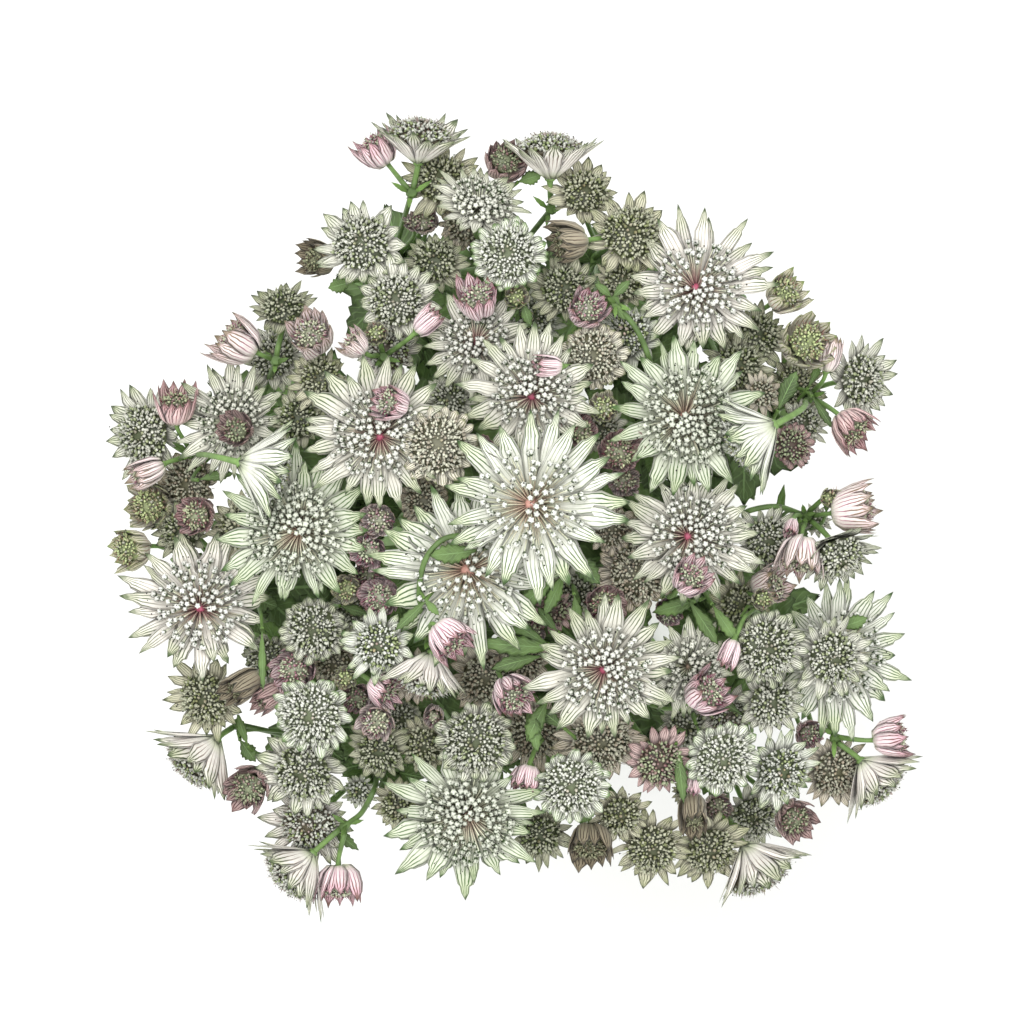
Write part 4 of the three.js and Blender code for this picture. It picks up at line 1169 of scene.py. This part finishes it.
def spray_skin(branch):
    """The knuckle on the end of a stem, and the stalks and flowers that grow from it."""
    skin = Skin(SPRAY_SEED + branch.number)
    fork_point = place_of(branch.spray)
    _, _, arrive, _ = stem_way(fork_point, *branch.route)
    bottom = fork_point + arrive * FORK_GAP
    line = bottom + np.array(KNUCKLE_STEPS)[:, None] * arrive
    radii = (branch.radius, branch.radius * 1.15, *KNUCKLE_RADII)
    add_tube(skin, line, radii, STEM_SIDES, "stalk", "stalk_top")
    add_bracteoles(skin, bottom + arrive * 2.4, arrive, *FORK_LEAVES)
    middle = bottom + arrive * (KNUCKLE_HEIGHT - ROOT_DEPTH / 2)
    add_growth(skin, middle, branch.spray.parts, ROOT_CIRCLE)
    return skin


def stem_skin(branch):
    """A cut stem from its level foot through the tie to its fork, with its leaves."""
    skin = Skin(STEM_SEED + branch.number)
    fork_point = place_of(branch.spray)
    foot_point, along, arrive, rise = stem_way(fork_point, *branch.route)
    straight = foot_point + np.linspace(0, 1, 8)[:-1, None] * (rise[0] - foot_point)
    line = np.concatenate((straight, bezier(rise, np.linspace(0, 1, 18))))
    points, share = tube(line, branch.radius, STEM_SIDES, level_side(arrive))
    foot = np.append(np.arange(STEM_SIDES), len(points) - 2)
    points[foot] -= along * (points[foot, 2] / along[2])[:, None]
    green = skin.colours["stem"] * (1 + 0.12 * np.sin(share * 30))[:, None]
    ends = np.where(share[:, None] < 0.01, skin.colours["cut"], green)
    add_rings(skin, points, STEM_SIDES, "green stalk", green, ends)
    grow_leaves(skin, branch, fork_point - arrive * COLLAR_DEPTH, rise)
    return skin


def grow_leaves(skin, branch, collar, rise):
    """The leaves of a stem: those round its fork, large lobed ones lower down, and placed ones."""
    spray, rng = branch.spray, skin.rng
    out = heading(spray.x, spray.y)
    if spray.lower_leaves:
        add_leaf(skin, collar, out + COLLAR_TURN, *COLLAR_LEAF, THREE_LOBES)
    if spray.palm_leaf:
        add_leaf(skin, bezier(rise, PALM_PLACE), out, *PALM_LEAF, FIVE_LOBES)
    else:
        add_leaf(skin, collar, out - COLLAR_TURN, *COLLAR_LEAF, THREE_LOBES)
    for share, turn, length in LOWER_LEAVES if spray.lower_leaves else ():
        azimuth = out + turn + rng.uniform(-12, 12)
        add_leaf(skin, bezier(rise, share), azimuth, rng.uniform(5, 20), length, length * 0.26,
                 THREE_LOBES)
    for leaf in branch.leaves:
        add_placed_leaf(skin, leaf, bezier(rise, PLACED_LEAF_START))


def add_placed_leaf(skin, leaf, start):
    """A leaf on a long stalk from the top of its stem, up to where it shows between the heads."""
    root, x, y = place_of(leaf), leaf.tip_x - leaf.x, leaf.tip_y - leaf.y
    out = direction(heading(x, y), 90)
    span = np.linalg.norm(root - start)
    curve = bezier((start, start + UP * span * 0.45, root - (out + UP) * span * 0.15, root),
                   np.linspace(0, 1, 9))
    add_tube(skin, curve, LEAF_STALK_RADIUS, STALK_SIDES, "stalk", "bracteole")
    add_blade(skin, root, heading(x, y), 8, math.hypot(x, y), leaf.width, arch=0.08)


def add_twine(skin, line, thickness):
    """Two plies twisted round each other along a line."""
    steps = np.linalg.norm(np.diff(line, axis=0), axis=1)
    turn = 2 * math.pi * np.append(0, np.cumsum(steps)) / TWINE_LAY
    offsets = (polar(thickness * PLY_OFFSET, turn)[:, None] @ rolling_frames(line))[:, 0]
    for sign in (-1, 1):
        add_tube(skin, line + sign * offsets, thickness * skin.chosen.ply_share, PLY_SIDES, "twine",
                 finish="twine fibre")


def tie_skin():
    """The twine wound round the stems, with its knot and two short ends."""
    skin = Skin()
    crest = TIE_RADIUS + TWINE_RADIUS
    turn = np.linspace(0, 2 * math.pi * TIE_TURNS, TURN_POINTS)
    height = (turn / math.pi - TIE_TURNS) * TWINE_RADIUS
    add_twine(skin, polar(crest, turn - math.pi / 2, TIE_HEIGHT + height), TWINE_RADIUS)
    knot = np.array((0, -crest - TWINE_RADIUS * 0.6, TIE_HEIGHT))
    turn = np.linspace(0, 2 * math.pi, LOOP_POINTS)
    for tilt in (-0.5, 0.5):
        loop = np.stack((1.7 * np.cos(turn), -0.9 * np.sin(turn) - 0.5,
                         2.0 * np.sin(turn) + tilt * 2.0 * np.cos(turn)), -1)
        add_twine(skin, knot + loop, TWINE_RADIUS * 0.95)
    for way in (-1, 1):
        shoulder, tip = np.array((way * 7, -2, 1)), np.array((way * 9, -3, -13 - way * 2))
        curve = (knot, knot + shoulder * 0.7, knot + shoulder, knot + tip)
        add_twine(skin, bezier(curve, np.linspace(0, 1, LOOP_POINTS)), TWINE_RADIUS * 0.9)
    return skin


def set_inputs(tree, node, inputs):
    """Links each given socket to an input of a node, and sets each given value on its input."""
    for key, value in inputs.items():
        if isinstance(value, NodeSocket):
            tree.links.new(value, node.inputs[key])
        else:
            node.inputs[key].default_value = value


def add_node(tree, kind, inputs, output=0, **settings):
    """One output of a new shader node, or all of them where the output is None."""
    node = tree.nodes.new("ShaderNode" + kind)
    for name, value in settings.items():
        setattr(node, name, value)
    set_inputs(tree, node, inputs)
    return node.outputs if output is None else node.outputs[output]


def maths(tree, operation, *values):
    return add_node(tree, "Math", dict(enumerate(values)), operation=operation)


def scaled(tree, colour, factor):
    return add_node(tree, "VectorMath", {0: colour, "Scale": factor}, operation="SCALE")


def ramp(tree, value, from_low, from_high, to_low=0.0, to_high=1.0):
    """A smooth step of a value from one range to another."""
    ends = {"Value": value, "From Min": from_low, "From Max": from_high, "To Min": to_low,
            "To Max": to_high}
    return add_node(tree, "MapRange", ends, "Result", interpolation_type="SMOOTHSTEP")


def mix(tree, share, first, second):
    return add_node(tree, "Mix", {0: share, 6: first, 7: second}, 2, data_type="RGBA")


def attribute(tree, name, output="Color"):
    return add_node(tree, "Attribute", {}, output, attribute_name=name)


def noise(tree, scale, detail, roughness):
    """Noise over the object's own space; scale is in features a metre."""
    spot = add_node(tree, "TexCoord", {}, "Object")
    inputs = {"Vector": spot, "Scale": scale, "Detail": detail, "Roughness": roughness}
    return add_node(tree, "TexNoise", inputs, "Fac")


def group_tree(name, sockets_in, sockets_out):
    """A new shader node group, and the sockets at its two ends."""
    tree = bpy.data.node_groups.new(name, "ShaderNodeTree")
    for label, kind, value in sockets_in:
        socket = tree.interface.new_socket(label, in_out="INPUT", socket_type="NodeSocket" + kind)
        if value is not None:
            socket.default_value = value
    for label, kind in sockets_out:
        tree.interface.new_socket(label, in_out="OUTPUT", socket_type="NodeSocket" + kind)
    return tree, tree.nodes.new("NodeGroupInput").outputs, tree.nodes.new("NodeGroupOutput").inputs


def vein_group():
    """Lines at every whole number of a position over the surface."""
    tree, start, end = group_tree("Veins", (("Position", "Float", 0.0), ("Width", "Float", 0.1)),
                                  (("Lines", "Float"),))
    away = maths(tree, "PINGPONG", start["Position"], 0.5)
    inner = maths(tree, "MULTIPLY", start["Width"], 0.35)
    tree.links.new(ramp(tree, away, start["Width"], inner), end["Lines"])


def mottle_group():
    """A colour made a little lighter and darker in soft spots."""
    tree, start, end = group_tree(
        "Mottle", (("Colour", "Color", None), ("Scale", "Float", 400.0), ("Amount", "Float", 0.25)),
        (("Colour", "Color"), ("Grain", "Float")))
    grain = noise(tree, start["Scale"], 4.0, 0.5)
    high = maths(tree, "MULTIPLY_ADD", start["Amount"], 1.0, 1.0)
    low = maths(tree, "SUBTRACT", 1.0, start["Amount"])
    factor = ramp(tree, grain, 0.3, 0.7, low, high)
    tree.links.new(scaled(tree, start["Colour"], factor), end["Colour"])
    tree.links.new(grain, end["Grain"])


def place_group(tree, name, **values):
    """The outputs of a copy of a node group in a material's tree."""
    inputs = {label.title(): value for label, value in values.items()}
    return add_node(tree, "Group", inputs, None, node_tree=bpy.data.node_groups[name])


def mottled_ground(tree, scale, amount):
    return place_group(tree, "Mottle", colour=attribute(tree, "ground"), scale=scale, amount=amount)


def way_parts(tree):
    """The parts of the way: across a bract or a leaf, along it, and its own shade."""
    return add_node(tree, "SeparateXYZ", {0: attribute(tree, "way", "Vector")}, None)


def veined_colour(tree, lines, fine_lines, width, body, foot_width):
    """Papery bract: thin veins that grow strong in the flush round its dark tip, and a paler foot."""
    across, along, shade = way_parts(tree)
    wander = maths(tree, "SUBTRACT", noise(tree, 260, 2.0, 0.6), 0.5)
    bent = maths(tree, "MULTIPLY_ADD", wander, 0.2, across)
    wide = ramp(tree, along, 0.38, 0.92, width, 0.25)
    main = place_group(tree, "Veins", position=maths(tree, "MULTIPLY", bent, lines), width=wide)[0]
    fine = place_group(tree, "Veins", position=maths(tree, "MULTIPLY", bent, fine_lines), width=0.24)[0]
    vein, dark = attribute(tree, "vein"), attribute(tree, "tip")
    ragged = maths(tree, "MULTIPLY_ADD", wander, 0.35, along)
    reached = maths(tree, "MULTIPLY_ADD", shade, -0.16, ragged)
    flush = ramp(tree, reached, 0.54, 0.90, 0.0, 0.66)
    flushed = mix(tree, flush, mottled_ground(tree, 420.0, 0.08)["Colour"], attribute(tree, "flush"))
    streaked = mix(tree, maths(tree, "MULTIPLY", fine, 0.16), flushed, vein)
    strength = ramp(tree, along, 0.25, 0.55, body * 0.3, body)
    veined = mix(tree, maths(tree, "MULTIPLY", main, strength), streaked, vein)
    deep = ramp(tree, reached, 0.40, 0.68, 0.0, 0.95)
    marked = mix(tree, maths(tree, "MULTIPLY", main, deep), veined, dark)
    footed = mix(tree, ramp(tree, along, foot_width, 0.06, 0.0, 0.78), marked, BRACT_FOOT)
    tip = ramp(tree, ragged, 0.86, 0.99, 0.0, 0.92)
    return mix(tree, tip, footed, dark), maths(tree, "SUBTRACT", 1.0, main)


def spotted_colour(tree, scale, amount):
    made = mottled_ground(tree, scale, amount)
    return made["Colour"], made["Grain"]


def leaf_colour(tree):
    """Deep green, paler along the midrib and the side veins that slant out from it."""
    across, along, _ = way_parts(tree)
    out = maths(tree, "ABSOLUTE", across)
    rib = ramp(tree, out, 0.09, 0.03)
    slanted = maths(tree, "MULTIPLY_ADD", out, -2.2, maths(tree, "MULTIPLY", along, 10.0))
    sides = place_group(tree, "Veins", position=slanted, width=0.16)[0]
    lines = maths(tree, "MAXIMUM", rib, maths(tree, "MULTIPLY", sides, 0.4))
    ground = mottled_ground(tree, 180.0, 0.3)["Colour"]
    return mix(tree, lines, ground, attribute(tree, "vein")), maths(tree, "SUBTRACT", 1.0, lines)


# What makes the colour and the bump height of each finish, its roughness, how strong and how deep in
# metres its bump is, its sheen, and how much of the colour the painted shade leaves in the deepest
# creases, or 0 for a finish without painted shade
FINISHES = {
    "bract paper": (functools.partial(veined_colour, lines=2.6, fine_lines=6.3, width=0.135, body=0.56,
                                      foot_width=0.30), 0.62, 0.35, 0.00015, 0.1, 0.52),
    "striped bract": (functools.partial(veined_colour, lines=2.4, fine_lines=5.9, width=0.14, body=0.9,
                                        foot_width=0.34), 0.6, 0.35, 0.00015, 0.1, 0.55),
    "floret petal": (functools.partial(spotted_colour, scale=1500.0, amount=0.12),
                     0.5, 0.2, 0.0001, 0.0, 0.42),
    "green stalk": (functools.partial(spotted_colour, scale=350.0, amount=0.2),
                    0.55, 0.2, 0.0002, 0.0, 0.35),
    "toothed leaf": (leaf_colour, 0.58, 0.5, 0.0003, 0.0, 0.38),
    "twine fibre": (functools.partial(spotted_colour, scale=1800.0, amount=0.4),
                    0.9, 0.7, 0.0002, 0.3, 0.0),
}


def new_finish(name):
    """A new material, with its node tree and its shader."""
    finish = bpy.data.materials.new(name)
    finish.use_nodes = True
    return finish, finish.node_tree, finish.node_tree.nodes["Principled BSDF"]


def make_finishes():
    """Makes the node groups and the finishes once."""
    if "Veins" in bpy.data.node_groups:
        return
    vein_group()
    mottle_group()
    for name, (colour_of, roughness, strength, distance, sheen, crease_shade_left) in FINISHES.items():
        _, tree, shader = new_finish(name)
        colour, height = colour_of(tree)
        # Painted shade: ambient occlusion darkens the base colour in creases and between close parts
        if crease_shade_left:
            depth = add_node(tree, "AmbientOcclusion", {"Color": colour, "Distance": PAINTED_SHADE_REACH}, "AO",
                             samples=PAINTED_SHADE_SAMPLES)
            colour = scaled(tree, colour, ramp(tree, depth, 0.1, 0.85, crease_shade_left, 1.04))
        bump = add_node(tree, "Bump", {"Strength": strength, "Distance": distance, "Height": height},
                        "Normal")
        set_inputs(tree, shader, {"Base Color": colour, "Roughness": roughness, "Sheen Weight": sheen,
                                  "Normal": bump})


def colour_property(name, description, colour):
    return FloatVectorProperty(name=name, description=description, subtype="COLOR", size=3,
                               min=0, max=1, default=tuple(linear(colour)))


def length_property(name, description, default):
    return FloatProperty(name=name, description=description, default=default * METRES,
                         min=0.1 * default * METRES, precision=5, unit="LENGTH")


class HeadLook(PropertyGroup):
    """The colours of one sort of flower head."""
    __annotations__ = {part: colour_property(part.title(), about, shade)
                       for (part, about), shade in zip(LOOK_PARTS.items(), LOOKS["white"])}


class BunchSettings(PropertyGroup):
    """Sizes and colours that all the heads, stems and leaves share."""
    __annotations__ = {
        "bract_thickness": length_property("Bract thickness", "Thickness of a papery bract", 0.16),
        "floret_spacing": length_property("Floret spacing", "Spacing of the florets on a crowded dome", 0.9),
        "ply_share": FloatProperty(name="Ply share", description="Thickness of each twine ply, in parts "
                                   "of the twine's own", default=0.56, min=0.3, max=0.7),
        **{name: colour_property(*about) for name, about in SHARED_COLOURS.items()},
        "lamp_height": FloatProperty(name="Lamp height", description="Height of the soft lamps over the "
                                     "floor", default=2.0, min=0.5, unit="LENGTH"),
    }


def add_object(name, data):
    made = bpy.data.objects.new(name, data)
    bpy.context.scene.collection.objects.link(made)
    return made


def show(skin, name, node):
    """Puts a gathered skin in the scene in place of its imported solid."""
    make_finishes()
    piece = add_object(name, skin.mesh(name))
    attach(piece, "root")
    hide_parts(node)


class GrowSprays(Operator):
    """Grows the stalks and flower heads of all the sprays"""
    bl_idname = "masterwort.sprays"
    bl_label = "Sprays of Flower Heads"

    def execute(self, context):
        for branch in branches():
            number = f"{branch.number:02d}"
            show(spray_skin(branch), "heads_" + number, "spray_" + number)
        return {"FINISHED"}


class GrowStems(Operator):
    """Grows the cut stems with their leaves"""
    bl_idname = "masterwort.stems"
    bl_label = "Stems and Leaves"

    def execute(self, context):
        for branch in branches():
            number = f"{branch.number:02d}"
            show(stem_skin(branch), "leafy_stem_" + number, "stem_" + number)
        return {"FINISHED"}


class WindTie(Operator):
    """Winds the twine round the stems and knots it"""
    bl_idname = "masterwort.tie"
    bl_label = "Twine Tie"

    def execute(self, context):
        show(tie_skin(), "twine_tie", "tie")
        return {"FINISHED"}


def add_floor(colour):
    """The plain floor under the bunch."""
    finish, tree, shader = new_finish("pale floor")
    set_inputs(tree, shader, {"Base Color": (*colour, 1), "Roughness": 0.9, "Specular IOR Level": 0.1})
    corners = [(x, y, 0) for x, y in FLOOR_CORNERS]
    mesh = bpy.data.meshes.new("floor")
    mesh.from_pydata(corners, [], [(0, 1, 2, 3)])
    mesh.materials.append(finish)
    floor = add_object("floor", mesh)


def add_lamp(name, x, y, high, size, power):
    """A square soft lamp that points at the heads."""
    data = bpy.data.lights.new(name, "AREA")
    data.shape = "SQUARE"
    data.size = size
    data.energy = power
    lamp = add_object(name, data)
    lamp.location = x, y, high
    aim = Vector((0, 0, TOP_HEIGHT * METRES)) - lamp.location
    lamp.rotation_euler = aim.to_track_quat("-Z", "Y").to_euler()


class SetStage(Operator):
    """Sets the floor, the soft lamps and the camera that looks straight down"""
    bl_idname = "masterwort.stage"
    bl_label = "Floor, Lamps and Camera"

    def execute(self, context):
        scene, chosen = context.scene, context.scene.masterwort
        add_floor(chosen.floor)
        for name, x, y, size, power in LAMPS:
            add_lamp(name, x, y, chosen.lamp_height, size, power)
        world = bpy.data.worlds.new("studio")
        world.use_nodes = True
        set_inputs(world.node_tree, world.node_tree.nodes["Background"],
                   {"Color": (1, 1, 1, 1), "Strength": WORLD_STRENGTH})
        scene.world = world
        scene.view_settings.view_transform = "Standard"
        data = bpy.data.cameras.new("camera")
        data.angle = 2 * math.atan(VIEW_HALF_WIDTH / VIEW_HEIGHT)
        data.clip_end = 20
        scene.camera = add_object("camera", data)
        scene.camera.location = (0, 0, (TOP_HEIGHT + VIEW_HEIGHT) * METRES)
        return {"FINISHED"}


OPERATORS = (GrowSprays, GrowStems, WindTie, SetStage)


class MasterwortPanel(Panel):
    """Lists the makers of the bunch and its colours"""
    bl_idname = "VIEW3D_PT_masterwort"
    bl_label = "Masterwort Bouquet"
    bl_space_type = "VIEW_3D"
    bl_region_type = "UI"
    bl_category = "Masterwort"

    def draw(self, context):
        for operator in OPERATORS:
            self.layout.operator(operator.bl_idname)
        for name in BunchSettings.__annotations__:
            self.layout.prop(context.scene.masterwort, name)
        for look in context.scene.masterwort_looks:
            box = self.layout.box()
            box.label(text=look.name)
            for name in LOOK_PARTS:
                box.prop(look, name)


CLASSES = (HeadLook, BunchSettings, *OPERATORS, MasterwortPanel)


def register():
    for made in CLASSES:
        bpy.utils.register_class(made)
    bpy.types.Scene.masterwort = PointerProperty(type=BunchSettings)
    bpy.types.Scene.masterwort_looks = CollectionProperty(type=HeadLook)


def unregister():
    del bpy.types.Scene.masterwort_looks
    del bpy.types.Scene.masterwort
    for made in reversed(CLASSES):
        bpy.utils.unregister_class(made)


def fill_looks(scene):
    for name, shades in LOOKS.items():
        look = scene.masterwort_looks.add()
        look.name = name
        for part, shade in zip(LOOK_PARTS, shades):
            setattr(look, part, tuple(linear(shade)))


def main():
    register()
    fill_looks(bpy.context.scene)
    bpy.ops.masterwort.sprays()
    bpy.ops.masterwort.stems()
    bpy.ops.masterwort.tie()
    bpy.ops.masterwort.stage()
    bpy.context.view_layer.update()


if __name__ == "__main__":
    main()
